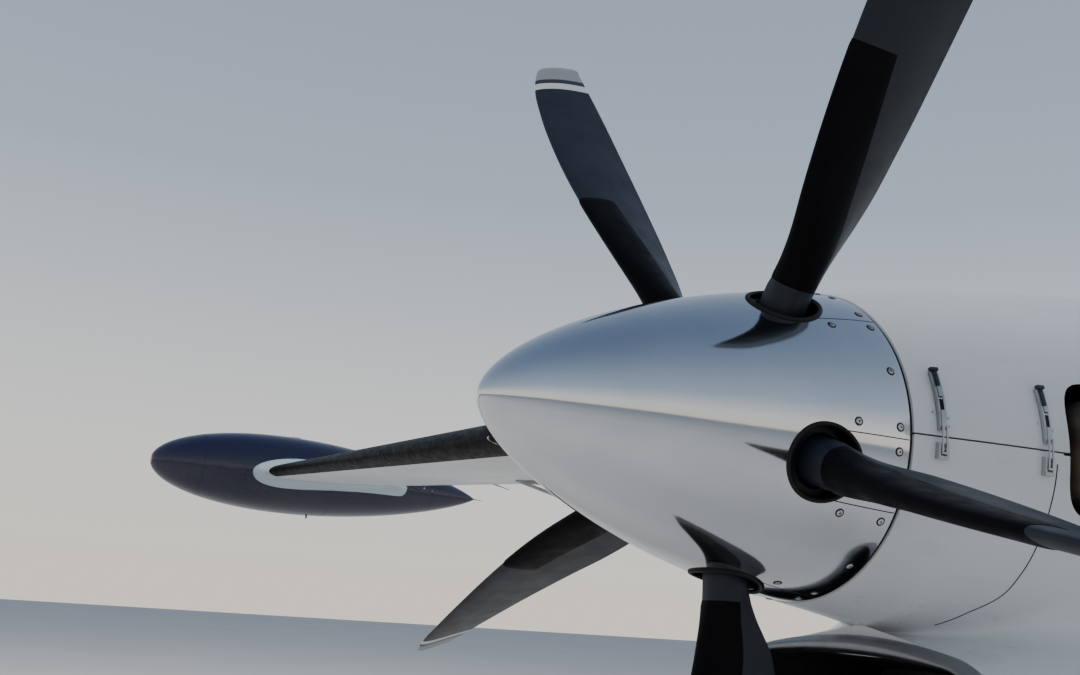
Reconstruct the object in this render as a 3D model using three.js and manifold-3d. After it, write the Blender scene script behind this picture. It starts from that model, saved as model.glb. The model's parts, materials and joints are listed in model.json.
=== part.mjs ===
// Starboard wing of a high-wing twin-turboprop commuter aircraft, with its engine nacelle,
// five-blade propeller and tip tank. Millimetres. +X inboard, +Y aft, +Z up.
// The origin is on the root rib's outer face, at the main spar.
import * as THREE from "three";
import { mergeVertices } from "three/addons/utils/BufferGeometryUtils.js";
import Module from "manifold-3d";

const wasm = await Module();
wasm.setup();

// Driving dimensions
const GAP = 0.3;
const ROOT_CHORD = 2392;
const SPAR_AT = 0.3;
const TAPER = 0.1566;
const SWEEP = 0.042;
const DIHEDRAL = 0.031;
const INCIDENCE = -0.5;
const ROOT_LE_Z = -70;
const RIB = 12;
const TIP_RIB_X = -8490;
const THICKNESS = { root: 360, tip: 128 };
const CAMBER = 0.02;
const NACELLE_X = -1360;
const BASE_AHEAD_OF_LE = 792;
const LE_ABOVE_THRUST = 305;
const SPINNER = { radius: 242, length: 555, wall: 4, front: 1.35, shape: 0.6, seam: 3, sides: 48 };
const BLADE = { count: 5, plane: -131, first: 33.6, shank: 34, seat: 172, feather: 84 };
const HOLE_RADIUS = 56;
const HUB = { shaft: 56, end: 33.7 };
const COWL = { front: 3, rear: 760, wall: 8, keel: 34, split: -4 };
const DOOR_GAP = 5;
const TANK = { x: -8808, nose: 299, length: 2752, width: 300, height: 306, z: 218, droop: -15 };

// Colours, roughness and metalness
const LOOK = {
  polished: [0xb9c2cc, 0.16, 1.0],
  alloy: [0x9aa1a8, 0.4, 0.9],
  paint: [0xd6dade, 0.35, 0.1],
  blade: [0x23262b, 0.45, 0.1],
  rubber: [0x0c0c0d, 0.6, 0.0],
  navy: [0x14163c, 0.3, 0.1],
  pale: [0x9fb2c2, 0.4, 0.1],
  dark: [0x2a2a2c, 0.6, 0.5],
  steel: [0x6a5f55, 0.45, 0.9],
};

const RAD = Math.PI / 180;

const object = new THREE.Group();
const power = new THREE.Group();
object.add(power);

function add(group, name, look, geometry) {
  const [color, roughness, metalness] = LOOK[look];
  const material = new THREE.MeshStandardMaterial({ color, roughness, metalness });
  const mesh = new THREE.Mesh(geometry, material);
  mesh.name = name;
  group.add(mesh);
  return mesh;
}

// Solids for joining and cutting
function solid(geometry) {
  const bare = new THREE.BufferGeometry();
  bare.setAttribute("position", geometry.getAttribute("position"));
  if (geometry.index) bare.setIndex(geometry.index);
  const merged = mergeVertices(bare, 1e-3);
  const triVerts = new Uint32Array(merged.index.array);
  const vertProperties = new Float32Array(merged.attributes.position.array);
  return new wasm.Manifold(new wasm.Mesh({ numProp: 3, vertProperties, triVerts }));
}

function surface(manifold) {
  const mesh = manifold.getMesh();
  const geometry = new THREE.BufferGeometry();
  geometry.setAttribute("position", new THREE.BufferAttribute(mesh.vertProperties, 3));
  geometry.setIndex(new THREE.BufferAttribute(mesh.triVerts, 1));
  return geometry;
}

function box(x0, x1, y0, y1, z0, z1) {
  const geometry = new THREE.BoxGeometry(x1 - x0, y1 - y0, z1 - z0);
  return geometry.translate((x0 + x1) / 2, (y0 + y1) / 2, (z0 + z1) / 2);
}

// A closed body through rings of equally many points, each ring flat and convex enough to cap
function loft(rings) {
  const count = rings[0].length;
  const position = [];
  const index = [];
  for (const ring of rings) for (const p of ring) position.push(p[0], p[1], p[2]);
  for (let i = 0; i + 1 < rings.length; i++) {
    for (let j = 0; j < count; j++) {
      const k = (j + 1) % count;
      const a = i * count + j;
      const b = i * count + k;
      index.push(a, b, b + count, a, b + count, a + count);
    }
  }
  for (const [ring, start, turn] of [
    [rings[0], 0, true],
    [rings[rings.length - 1], (rings.length - 1) * count, false],
  ]) {
    for (const [a, b, c] of capTriangles(ring)) {
      if (turn) index.push(start + a, start + c, start + b);
      else index.push(start + a, start + b, start + c);
    }
  }
  const geometry = new THREE.BufferGeometry();
  geometry.setAttribute("position", new THREE.Float32BufferAttribute(position, 3));
  geometry.setIndex(index);
  return volume(geometry) < 0 ? flipped(geometry) : geometry;
}

function capTriangles(ring) {
  const n = [0, 0, 0];
  ring.forEach((p, i) => {
    const q = ring[(i + 1) % ring.length];
    for (let a = 0; a < 3; a++) {
      const b = (a + 1) % 3;
      const c = (a + 2) % 3;
      n[a] += p[b] * q[c] - p[c] * q[b];
    }
  });
  const size = n.map(Math.abs);
  const axis = size.indexOf(Math.max(...size));
  const flat = ring.map((p) => new THREE.Vector2(p[(axis + 1) % 3], p[(axis + 2) % 3]));
  const faces = THREE.ShapeUtils.triangulateShape(flat, []);
  const area = THREE.ShapeUtils.area(flat);
  return faces.map(([a, b, c]) => {
    const turned = THREE.ShapeUtils.area([flat[a], flat[b], flat[c]]) * area < 0;
    return turned ? [a, c, b] : [a, b, c];
  });
}

function volume(geometry) {
  const p = geometry.getAttribute("position");
  const [a, b, c] = [new THREE.Vector3(), new THREE.Vector3(), new THREE.Vector3()];
  let sum = 0;
  for (let i = 0; i < geometry.index.count; i += 3) {
    a.fromBufferAttribute(p, geometry.index.getX(i));
    b.fromBufferAttribute(p, geometry.index.getX(i + 1));
    c.fromBufferAttribute(p, geometry.index.getX(i + 2));
    sum += a.dot(b.cross(c));
  }
  return sum;
}

function flipped(geometry) {
  const index = geometry.index.array;
  for (let i = 0; i < index.length; i += 3) {
    [index[i + 1], index[i + 2]] = [index[i + 2], index[i + 1]];
  }
  return geometry;
}

// A straight rod between two points
function rod(from, to, radius, sides = 12) {
  const a = new THREE.Vector3(...from);
  const b = new THREE.Vector3(...to);
  const geometry = new THREE.CylinderGeometry(radius, radius, a.distanceTo(b), sides);
  const turn = new THREE.Quaternion();
  turn.setFromUnitVectors(new THREE.Vector3(0, 1, 0), b.clone().sub(a).normalize());
  geometry.applyQuaternion(turn);
  const middle = a.add(b).multiplyScalar(0.5);
  return geometry.translate(middle.x, middle.y, middle.z);
}

function ellipse(count, place) {
  return Array.from({ length: count }, (_, i) => place((i / count) * 2 * Math.PI));
}

function between(table, y, column) {
  const found = table.findIndex((row) => row[0] >= y);
  const i = found < 0 ? table.length - 1 : Math.max(found, 1);
  const [a, b] = [table[i - 1], table[i]];
  return a[column] + ((b[column] - a[column]) * (y - a[0])) / (b[0] - a[0]);
}

// Wing section: heights of the upper and lower skin at a fraction of the chord
function skin(fraction, ratio) {
  const f = Math.min(Math.max(fraction, 0), 1);
  const half =
    5 * ratio * (0.2969 * Math.sqrt(f) - 0.126 * f - 0.3516 * f ** 2 + 0.2843 * f ** 3 - 0.1036 * f ** 4);
  const mean = CAMBER * (f < 0.4 ? (0.8 * f - f * f) / 0.16 : (0.2 + 0.8 * f - f * f) / 0.36);
  return [mean + half, mean - half];
}

// The wing at x: its leading edge, chord, and thickness as a fraction of the chord
function station(x) {
  const out = -x;
  const chord = ROOT_CHORD - TAPER * out;
  const thickness = THICKNESS.root + (THICKNESS.tip - THICKNESS.root) * (x / TIP_RIB_X);
  return {
    y: -SPAR_AT * ROOT_CHORD + SWEEP * out,
    z: ROOT_LE_Z + DIHEDRAL * out,
    chord,
    ratio: thickness / chord,
  };
}

function onWing(x, fraction, height) {
  const s = station(x);
  const drop = Math.tan(INCIDENCE * RAD) * fraction * s.chord;
  return [x, s.y + fraction * s.chord, s.z - drop + height * s.chord];
}

function skinPoint(x, fraction, upper) {
  const [top, bottom] = skin(fraction, station(x).ratio);
  return onWing(x, fraction, upper ? top : bottom);
}

const CHORD_STEPS = 18;
function wingRing(x, from, to, grow = 0) {
  const ring = [];
  const step = (i) => from + (to - from) * (1 - Math.cos((i / CHORD_STEPS) * Math.PI)) * 0.5;
  for (let i = 0; i <= CHORD_STEPS; i++) ring.push([step(i), true]);
  const last = to < 1 || grow > 0 ? CHORD_STEPS : CHORD_STEPS - 1;
  const first = from > 0 || grow > 0 ? 0 : 1;
  for (let i = last; i >= first; i--) ring.push([step(i), false]);
  return ring.map(([f, upper]) => {
    const p = skinPoint(x, f, upper);
    const edge = Math.cos(f * Math.PI) * grow;
    return [p[0], p[1] - edge, p[2] + (upper ? grow : -grow)];
  });
}

function wingBody(x0, x1, from, to, grow = 0) {
  return loft([wingRing(x0, from, to, grow), wingRing(x1, from, to, grow)]);
}

// The whole wing between its ribs, and the same grown by a little to cut what lies against it
function wholeWing(grow = 0) {
  return wingBody(-RIB - GAP, TIP_RIB_X, 0, 1, grow);
}

// A round-nosed surface behind a hinge line, from x0 to x1, back to the given fraction
function controlSurface(x0, x1, hinge, end) {
  const rings = [x0, x1].map((x) => {
    const [, y, top] = skinPoint(x, hinge, true);
    const low = skinPoint(x, hinge, false)[2];
    const radius = (top - low) / 2;
    const ring = [];
    const STEPS = 8;
    for (let i = 0; i <= STEPS; i++) {
      const a = (i / STEPS) * Math.PI;
      ring.push([x, y - radius * Math.sin(a), (top + low) / 2 - radius * Math.cos(a)]);
    }
    const AFT = 6;
    for (let i = 1; i <= AFT; i++) ring.push(skinPoint(x, hinge + ((end - hinge) * i) / AFT, true));
    for (let i = AFT - (end < 1 ? 0 : 1); i > 0; i--) {
      ring.push(skinPoint(x, hinge + ((end - hinge) * i) / AFT, false));
    }
    return ring;
  });
  return loft(rings);
}

function hingeCentre(x, hinge) {
  const top = skinPoint(x, hinge, true);
  const low = skinPoint(x, hinge, false);
  return [x, top[1], (top[2] + low[2]) / 2];
}

// The open bay in the wing for one surface: all that lies behind its cove
function bay(x0, x1, hinge, clearance) {
  const TALL = 400;
  const rings = [x0, x1].map((x) => {
    const [, y, top] = skinPoint(x, hinge, true);
    const low = skinPoint(x, hinge, false)[2];
    const radius = (top - low) / 2;
    const front = y - radius - clearance;
    const back = station(x).y + station(x).chord + TALL;
    const z = (top + low) / 2;
    return [
      [x, front, z - TALL],
      [x, back, z - TALL],
      [x, back, z + TALL],
      [x, front, z + TALL],
    ];
  });
  return loft(rings);
}

// Trailing surfaces: name, inboard and outboard x, hinge line as a fraction of chord, x of the hinges
const SURFACES = [
  { name: "flap_inner", x0: -60, x1: -3240, hinge: 0.735, hinges: [-420, -2900] },
  { name: "flap_outer", x0: -3264, x1: -6500, hinge: 0.735, hinges: [-3600, -5680] },
  { name: "aileron", x0: -6524, x1: -8330, hinge: 0.735, hinges: [-6700, -8180] },
];
const TAB = { name: "aileron_tab", x0: -6860, x1: -7700, hinge: 0.91, hinges: [-6960, -7600] };
const END_GAP = 12;
const COVE_GAP = 12;
const TAB_GAP = 6;

// Hinge lugs inside a round nose: half thickness, half height, pin radius, side clearance, pin overlap
const LUG = { half: 8, tall: 13, pin: 6, side: 5, hold: 12 };
const SMALL_LUG = { half: 4, tall: 5, pin: 2, side: 5, hold: 6 };

function noseRadius(x, hinge) {
  return (skinPoint(x, hinge, true)[2] - skinPoint(x, hinge, false)[2]) / 2;
}

function lugged(carrier, surfaceSolid, s, lug, clearance) {
  for (const x of s.hinges) {
    const [, y, z] = hingeCentre(x, s.hinge);
    const onHinge = (away, radius, sides) =>
      solid(rod(hingeCentre(x - away, s.hinge), hingeCentre(x + away, s.hinge), radius, sides));
    const front = y - noseRadius(x, s.hinge) - clearance - 10;
    const reach = lug.half + lug.side + lug.hold;
    const plate = solid(box(x - lug.half, x + lug.half, front, y, z - lug.tall, z + lug.tall));
    carrier = carrier.add(plate).add(onHinge(lug.half, lug.tall, 24)).add(onHinge(reach, lug.pin, 16));
    const slot = lug.half + lug.side;
    const back = y + lug.tall + 6;
    surfaceSolid = surfaceSolid
      .subtract(solid(box(x - slot, x + slot, front, back, z - 300, z + 300)))
      .subtract(onHinge(reach + 1, lug.pin + GAP, 16));
  }
  return [carrier, surfaceSolid];
}

// Flap hinges hang below the skin: drop as a fraction of chord, plate thickness, pin and eye radii
const DROP = 0.048;
const ARM = { thick: 12, side: 5, pin: 8, eye: 22, behind: 0.85 };

function flapAxis(s) {
  const end = (x) => {
    const low = skinPoint(x, s.hinge, false);
    return new THREE.Vector3(low[0], low[1], low[2] - DROP * station(x).chord);
  };
  return [end(s.x0), end(s.x1)];
}

function onFlapAxis(s, x) {
  const [a, b] = flapAxis(s);
  return a.lerp(b, (x - s.x0) / (s.x1 - s.x0));
}

// A plate across X from points of y and z
function plate(points, x0, x1, holes = []) {
  const shape = new THREE.Shape(points.map(([y, z]) => new THREE.Vector2(y, z)));
  shape.holes = holes.map((hole) => new THREE.Path(hole.map(([y, z]) => new THREE.Vector2(y, z))));
  const geometry = new THREE.ExtrudeGeometry(shape, { depth: Math.abs(x1 - x0), bevelEnabled: false });
  geometry.applyMatrix4(new THREE.Matrix4().set(0, 0, 1, 0, 1, 0, 0, 0, 0, 1, 0, 0, 0, 0, 0, 1));
  return geometry.translate(Math.min(x0, x1), 0, 0);
}

function roundEye(y, z, radius, from, to) {
  const STEPS = 8;
  return Array.from({ length: STEPS + 1 }, (_, i) => {
    const a = (from + ((to - from) * i) / STEPS) * RAD;
    return [y + radius * Math.cos(a), z + radius * Math.sin(a)];
  });
}

function flapPin(s, from, to, radius) {
  return solid(rod(onFlapAxis(s, from).toArray(), onFlapAxis(s, to).toArray(), radius, 16));
}

// The fixed open triangle under the wing that carries one flap hinge
function flapBracket(s, x) {
  const h = onFlapAxis(s, x);
  const k = station(x).chord / ROOT_CHORD;
  const cove = h.y - noseRadius(x, s.hinge) - COVE_GAP - 10;
  const front = cove - 330 * k;
  const high = h.z + 160 * k;
  const outline = [
    [front, high],
    [front, h.z + 62 * k],
    ...roundEye(h.y, h.z, ARM.eye, -100, 80),
    [cove, h.z + 92 * k],
    [cove, high],
  ];
  const open = [
    [cove - 170 * k, h.z + 58 * k],
    [cove + 10, h.z + 60 * k],
    [h.y - 36, h.z + 6 * k],
  ];
  const wing = solid(wholeWing(GAP));
  const body = solid(plate(outline, x, x + ARM.thick, [open]));
  return body.subtract(wing).add(flapPin(s, x + 2, x - ARM.side - ARM.thick - 3, ARM.pin));
}

function flapArm(s, x) {
  const h = onFlapAxis(s, x);
  const back = skinPoint(x, ARM.behind, false);
  const near = skinPoint(x, s.hinge + 0.02, false);
  const x1 = x - ARM.side;
  const outline = [
    [near[1], near[2] + 12],
    ...roundEye(h.y, h.z, ARM.eye, 160, 300),
    [back[1], back[2] + 6],
  ];
  const arm = solid(plate(outline, x1, x1 - ARM.thick));
  return arm.subtract(flapPin(s, x1 + 1, x1 - 40, ARM.pin + GAP));
}

function buildWing() {
  let main = solid(wholeWing());
  for (const s of SURFACES) {
    main = main.subtract(solid(bay(s.x0 + END_GAP, s.x1 - END_GAP, s.hinge, COVE_GAP)));
  }
  add(object, "root_rib", "alloy", wingBody(0, -RIB, 0.004, 0.7));
  for (const s of SURFACES.slice(0, 2)) {
    let body = solid(controlSurface(s.x0, s.x1, s.hinge, 1));
    s.hinges.forEach((x, i) => {
      body = body.add(flapArm(s, x));
      add(object, `${s.name}_bracket_${i + 1}`, "alloy", surface(flapBracket(s, x)));
    });
    add(object, s.name, "paint", surface(body));
  }
  const s = SURFACES[2];
  let aileron = solid(controlSurface(s.x0, s.x1, s.hinge, 1));
  let tab = solid(controlSurface(TAB.x0, TAB.x1, TAB.hinge, 1));
  aileron = aileron.subtract(solid(bay(TAB.x0 + END_GAP, TAB.x1 - END_GAP, TAB.hinge, TAB_GAP)));
  [aileron, tab] = lugged(aileron, tab, TAB, SMALL_LUG, TAB_GAP);
  [main, aileron] = lugged(main, aileron, s, LUG, COVE_GAP);
  add(object, "wing_main", "paint", surface(main));
  add(object, "aileron", "paint", surface(aileron));
  add(object, "aileron_tab", "pale", surface(tab));
}

// Nacelle outline about the thrust line: y, half width, then the height of its top, bottom and widest line
const NACELLE = [
  [3, 244, 244, -244, 0],
  [165, 281, 281, -272, 0],
  [286, 303, 304, -300, 0],
  [416, 322, 329, -330, 0],
  [507, 333, 344, -350, 0],
  [760, 350, 358, -400, 0],
  [1100, 345, 380, -400, 0],
  [1500, 300, 380, -320, 20],
  [1850, 215, 360, -120, 80],
  [2120, 90, 340, 110, 180],
];
const AROUND = 40;

function nacellePoint(y, angle, inset = 0) {
  const width = between(NACELLE, y, 1) - inset;
  const top = between(NACELLE, y, 2) - inset;
  const bottom = between(NACELLE, y, 3) + inset;
  const widest = between(NACELLE, y, 4);
  const c = Math.cos(angle);
  return [width * Math.sin(angle), y, widest + (c > 0 ? top - widest : widest - bottom) * c];
}

function nacelleBody(ys, inset = 0) {
  return loft(ys.map((y) => ellipse(AROUND, (a) => nacellePoint(y, a, inset))));
}

function nacelleRows(from, to) {
  const inside = NACELLE.map((row) => row[0]).filter((y) => y > from + 1 && y < to - 1);
  return [from, ...inside, to];
}

// Chin intake and its duct: y, half width, top, bottom, corner radius of a rounded rectangle
const SCOOP = [
  [150, 266, -284, -450, 80],
  [240, 276, -208, -464, 86],
  [500, 284, -180, -470, 92],
  [760, 280, -160, -440, 110],
];
const DUCT = [
  [110, 236, -314, -422, 50],
  [200, 240, -316, -432, 52],
  [400, 200, -340, -436, 40],
];

// The rounded lip ahead of the intake: y, and how far its outside and its inside draw in
const LIP = [
  [118, 15, 12],
  [122, 8, 6],
  [132, 2, 1.5],
  [150 - GAP, 0, 0],
];

function roundedRing([y, half, top, bottom, r]) {
  const ring = [];
  const STEPS = 5;
  const centres = [
    [half - r, top - r, 0],
    [-half + r, top - r, 90],
    [-half + r, bottom + r, 180],
    [half - r, bottom + r, 270],
  ];
  for (const [cx, cz, start] of centres) {
    for (let i = 0; i <= STEPS; i++) {
      const a = (start + (90 * i) / STEPS) * RAD;
      ring.push([cx + r * Math.cos(a), y, cz + r * Math.sin(a)]);
    }
  }
  return ring;
}

function roundedBody(rows) {
  return loft(rows.map(roundedRing));
}

// Exhaust stubs: distance from the thrust line, y centre, half height, half length
const STUB = [
  [150, 336, 78, 62],
  [290, 349, 80, 66],
  [378, 374, 74, 62],
];
const STUB_WALL = 4;
const STUB_CLEAR = 24;

const squared = (t) => Math.sign(t) * Math.abs(t) ** 0.55;

function stubBody(side, inset, extra = 0) {
  const rows = STUB.map((row, i) => {
    const x = side * (row[0] + (i === 0 ? -extra : i === 2 ? extra : 0));
    return ellipse(28, (a) => {
      const dy = (row[3] - inset) * squared(Math.cos(a));
      return [x + side * dy * 0.12, row[1] + dy, 8 + (row[2] - inset) * squared(Math.sin(a))];
    });
  });
  return loft(rows);
}

function buildCowling() {
  const rows = nacelleRows(COWL.front, COWL.rear);
  const outer = solid(nacelleBody(rows));
  const inner = solid(nacelleBody([COWL.front - 5, ...rows.slice(1), COWL.rear + 5], COWL.wall));
  const shell = outer.subtract(inner);
  const stubs = solid(stubBody(1, -STUB_CLEAR, 60)).add(solid(stubBody(-1, -STUB_CLEAR, 60)));
  const open = shell.subtract(stubs);
  const half = COWL.keel / 2;
  const edge = COWL.split + DOOR_GAP / 2;
  for (const [name, side] of [["inboard", 1], ["outboard", -1]]) {
    const xs = side > 0 ? [half + DOOR_GAP, 500] : [-500, -half - DOOR_GAP];
    const zone = box(xs[0], xs[1], COWL.front - 1, COWL.rear - DOOR_GAP, edge, 600);
    add(power, `cowl_door_${name}`, "paint", surface(open.intersect(solid(zone))));
  }
  const keel = shell.intersect(solid(box(-half, half, COWL.front - 1, COWL.rear, 0, 600)));
  add(power, "cowl_keel", "paint", surface(keel));

  const belly = outer.add(solid(roundedBody(SCOOP)));
  const lower = belly
    .subtract(inner)
    .subtract(solid(roundedBody(DUCT)))
    .subtract(stubs)
    .intersect(solid(box(-500, 500, COWL.front - 1, COWL.rear, -700, edge - DOOR_GAP)));
  add(power, "cowl_lower", "paint", surface(lower));

  const [, half0, top0, bottom0, corner0] = SCOOP[0];
  const [, half1, top1, bottom1, corner1] = DUCT[0];
  const lipOuter = LIP.map(([y, d]) => [y, half0 - d, top0 - d, bottom0 + d, corner0 - d]);
  const lipInner = LIP.map(([y, , d]) => [y, half1 + d, top1 + d, bottom1 - d, corner1 + d]);
  lipInner[0][0] -= 1;
  lipInner[LIP.length - 1][0] += 1;
  const lip = solid(roundedBody(lipOuter))
    .subtract(solid(roundedBody(lipInner)))
    .subtract(solid(nacelleBody([100, 165], -GAP)));
  add(power, "intake_lip", "polished", surface(lip));
}

// Strap latches on each side: y of each, and its upper end in degrees from the top
const LATCHES = [
  [45, 69],
  [220, 72.5],
];
const STRAP = { to: 89, half: 7, thick: 9, hook: 20, hookLength: 3 };
const KEEPER = { from: 93, to: 98, half: 10, thick: 11 };

function strip(side, y, piece, half) {
  const STEPS = 5;
  const rings = Array.from({ length: STEPS + 1 }, (_, i) => {
    const a = (piece.from + ((piece.to - piece.from) * i) / STEPS) * RAD * side;
    const at = (yy, lift) => nacellePoint(yy, a, -lift);
    return [at(y - half, 0.5), at(y + half, 0.5), at(y + half, piece.thick), at(y - half, piece.thick)];
  });
  return loft(rings);
}

function buildLatches() {
  for (const [name, side] of [["inboard", 1], ["outboard", -1]]) {
    LATCHES.forEach(([y, from], i) => {
      const strap = solid(strip(side, y, { ...STRAP, from }, STRAP.half));
      const hook = { from, to: from + STRAP.hookLength, thick: STRAP.hook };
      const latch = strap.add(solid(strip(side, y - 5, hook, STRAP.half)));
      add(power, `latch_${name}_${i + 1}`, "alloy", surface(latch));
      add(power, `keeper_${name}_${i + 1}`, "alloy", strip(side, y, KEEPER, KEEPER.half));
    });
  }
}

const ENGINE = [
  [0, 34],
  [112, 34],
  [118, 190],
  [178, 250],
  [195, 262],
  [195, 520],
  [168, 560],
  [168, 980],
  [160, 1010],
  [160, 1400],
  [0, 1400],
];
const FIREWALL_Y = 760;
const MOUNT = { ring: 168 + GAP, outer: 188, foot: 250, struts: [45, 135, 225, 315] };

// A lathe about the thrust line from points of radius and y
function aboutThrust(points, segments) {
  const profile = points.map(([r, y]) => new THREE.Vector2(r, y));
  return new THREE.LatheGeometry(profile, segments);
}

function buildEngine() {
  add(power, "engine_block", "dark", aboutThrust(ENGINE, 32));
  const core = solid(aboutThrust([[0, 200], [195 + GAP, 200], [195 + GAP, 560], [0, 560]], 32));
  for (const [name, side] of [["inboard", 1], ["outboard", -1]]) {
    const cut = solid(stubBody(side, 0)).subtract(solid(stubBody(side, STUB_WALL, 0.5))).subtract(core);
    add(power, `exhaust_stub_${name}`, "steel", surface(cut));
  }
  const ring = solid(nacelleBody([COWL.front + 6, COWL.front + 30], COWL.wall + GAP));
  const hole = solid(aboutThrust([[0, 0], [118, 0], [118, 60], [0, 60]], 32));
  add(power, "nose_ring", "dark", surface(ring.subtract(hole)));
  const wall = solid(nacelleBody([FIREWALL_Y - 30, FIREWALL_Y - 22], COWL.wall + GAP));
  const pass = solid(aboutThrust([[0, 600], [182, 600], [182, 900], [0, 900]], 32));
  add(power, "firewall", "steel", surface(wall.subtract(pass)));

  const collar = [[MOUNT.ring, 600], [MOUNT.outer, 600], [MOUNT.outer, 625], [MOUNT.ring, 625]];
  let frame = solid(aboutThrust([...collar, collar[0]], 32));
  for (const degrees of MOUNT.struts) {
    const a = degrees * RAD;
    const end = (r, y) => [r * Math.sin(a), y, r * Math.cos(a)];
    const strut = rod(end(MOUNT.outer - 8, 612), end(MOUNT.foot, FIREWALL_Y - 20), 9, 10);
    frame = frame.add(solid(strut));
  }
  const behind = solid(box(-500, 500, FIREWALL_Y - 30 - GAP, FIREWALL_Y + 50, -500, 500));
  add(power, "engine_mount", "steel", surface(frame.subtract(behind)));
}

function buildNacelleRear() {
  const ys = nacelleRows(COWL.rear + GAP, 2120);
  const { x, y, z } = power.position;
  const wing = solid(wholeWing(GAP).translate(-x, -y, -z));
  const pocket = [COWL.rear - 5, 1100, 1460];
  const room = loft(
    pocket.map((y) => ellipse(AROUND, (a) => [190 * Math.sin(a), y, -20 + 191 * Math.cos(a)])),
  );
  const body = solid(nacelleBody(ys)).subtract(wing).subtract(solid(room));
  add(power, "nacelle_fairing", "paint", surface(body));
}

function spinnerRadius(y) {
  const along = Math.min(Math.max((y + SPINNER.length) / SPINNER.length, 0), 1);
  return SPINNER.radius * (1 - (1 - along) ** SPINNER.front) ** SPINNER.shape;
}

function aroundBlades(make) {
  return Array.from({ length: BLADE.count }, (_, k) => {
    const angle = (BLADE.first + (360 * k) / BLADE.count) * RAD;
    const geometry = make(k);
    return geometry.rotateY(angle).translate(0, BLADE.plane, 0);
  });
}

function buildSpinner() {
  const STEPS = 12;
  const outer = [];
  const inner = [];
  for (let i = 0; i <= STEPS; i++) {
    const y = -SPINNER.length + (SPINNER.length - SPINNER.seam) * (i / STEPS) ** 1.5;
    outer.push([i === 0 ? 0 : spinnerRadius(y), y]);
    const inside = spinnerRadius(y) - SPINNER.wall;
    if (i > 0 && i % 2 === 0) inner.push([inside, y]);
  }
  inner.unshift([0, inner[0][1]]);
  let shell = solid(aboutThrust([...outer, ...inner.reverse()], SPINNER.sides));
  const holes = aroundBlades(() => rod([0, 0, 120], [0, 0, 300], HOLE_RADIUS, 24));
  for (const hole of holes) shell = shell.subtract(solid(hole));
  add(power, "spinner", "polished", surface(shell));

  const plateRadius = spinnerRadius(-18) - SPINNER.wall - 3 * GAP;
  const bore = HUB.shaft + GAP;
  const plate = [[bore, -16], [plateRadius, -16], [plateRadius, -8], [bore, -8], [bore, -16]];
  add(power, "spinner_backplate", "alloy", aboutThrust(plate, SPINNER.sides));
  const barrel = [[0, -222], [70, -222], [92, -200], [92, -70], [HUB.shaft, -60]];
  let hub = solid(aboutThrust([...barrel, [HUB.shaft, HUB.end], [0, HUB.end]], 32));
  for (const socket of aroundBlades(() => rod([0, 0, 40], [0, 0, BLADE.seat - GAP], 56, 24))) {
    hub = hub.add(solid(socket));
  }
  add(power, "propeller_hub", "alloy", surface(hub));

  const seals = aroundBlades(() => {
    const outside = HOLE_RADIUS - GAP;
    const inside = BLADE.shank + DOOR_GAP;
    const ring = [[inside, 182], [outside, 182], [outside, 206], [inside, 206], [inside, 182]];
    return aboutThrust(ring, 24).rotateX(Math.PI / 2);
  });
  seals.forEach((seal, k) => add(power, `blade_seal_${k + 1}`, "rubber", seal));
}

// Blade sections: radius, chord, thickness, leading edge ahead of the pitch axis, twist from 75% radius
const BLADE_ROWS = [
  [172, 68, 68, 34, 20],
  [236, 68, 68, 34, 20],
  [270, 84, 56, 36, 20],
  [320, 118, 42, 44, 19],
  [380, 142, 33, 56, 16],
  [480, 160, 27, 69, 12],
  [620, 164, 22, 75, 5.5],
  [780, 157, 17, 70, -1],
  [930, 144, 13.5, 57, -6],
  [1060, 122, 10.5, 36, -9.5],
  [1120, 102, 9, 17, -11],
  [1142, 92, 8, 7, -11.5],
  [1150, 78, 6, -1, -11.5],
];

// A blade standing along +Z with its chord along Y, leading edge forward, suction side to +X
function bladeRing([radius, chord, thick, ahead, twist]) {
  const round = Math.min(1, Math.max(0, (thick / chord - 0.25) / 0.75));
  const SIDE = 9;
  const pitch = (BLADE.feather + twist - 90) * RAD;
  const ring = [];
  for (let i = 0; i < 2 * SIDE; i++) {
    const a = (i / SIDE) * Math.PI;
    const along = (1 - Math.cos(a)) / 2;
    const foil = 2.6 * Math.sqrt(along) * (1 - along) * (i < SIDE ? 1 : -1) * 0.5;
    const circle = Math.sin(a) / 2;
    const y = along * chord - ahead;
    const camber = 0.25 * thick * Math.sin(Math.PI * along) * (1 - round);
    const x = thick * (round * circle + (1 - round) * foil) + camber;
    const [c, d] = [Math.cos(pitch), Math.sin(pitch)];
    ring.push([x * c - y * d, x * d + y * c, radius]);
  }
  return ring;
}

function buildBlades() {
  const blades = aroundBlades(() => loft(BLADE_ROWS.map(bladeRing)));
  blades.forEach((blade, k) => add(power, `blade_${k + 1}`, "blade", blade));
}

function tankBody(from = 0.002, to = 0.998) {
  const STEPS = 14;
  const y0 = power.position.y + TANK.nose;
  const rings = Array.from({ length: STEPS + 1 }, (_, i) => {
    const t = from + (to - from) * (0.5 - 0.5 * Math.cos((i / STEPS) * Math.PI));
    const shape = 2.38 * Math.sqrt(t) * (1 - t) ** 0.8;
    return ellipse(24, (a) => [
      TANK.x + TANK.width * shape * Math.sin(a),
      y0 + TANK.length * t,
      TANK.z + TANK.droop * t * t + TANK.height * shape * Math.cos(a),
    ]);
  });
  return solid(loft(rings));
}

// The teardrop fairing between wing and tank: x, then how far it stands out ahead of the leading
// edge, behind the trailing edge, above and below the wing's section
const FAIRING = [
  [-8400, 4, 4, 3, 3],
  [-8450, 34, 60, 16, 30],
  [-8510, 78, 140, 36, 62],
  [-8620, 78, 140, 36, 62],
];

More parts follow.
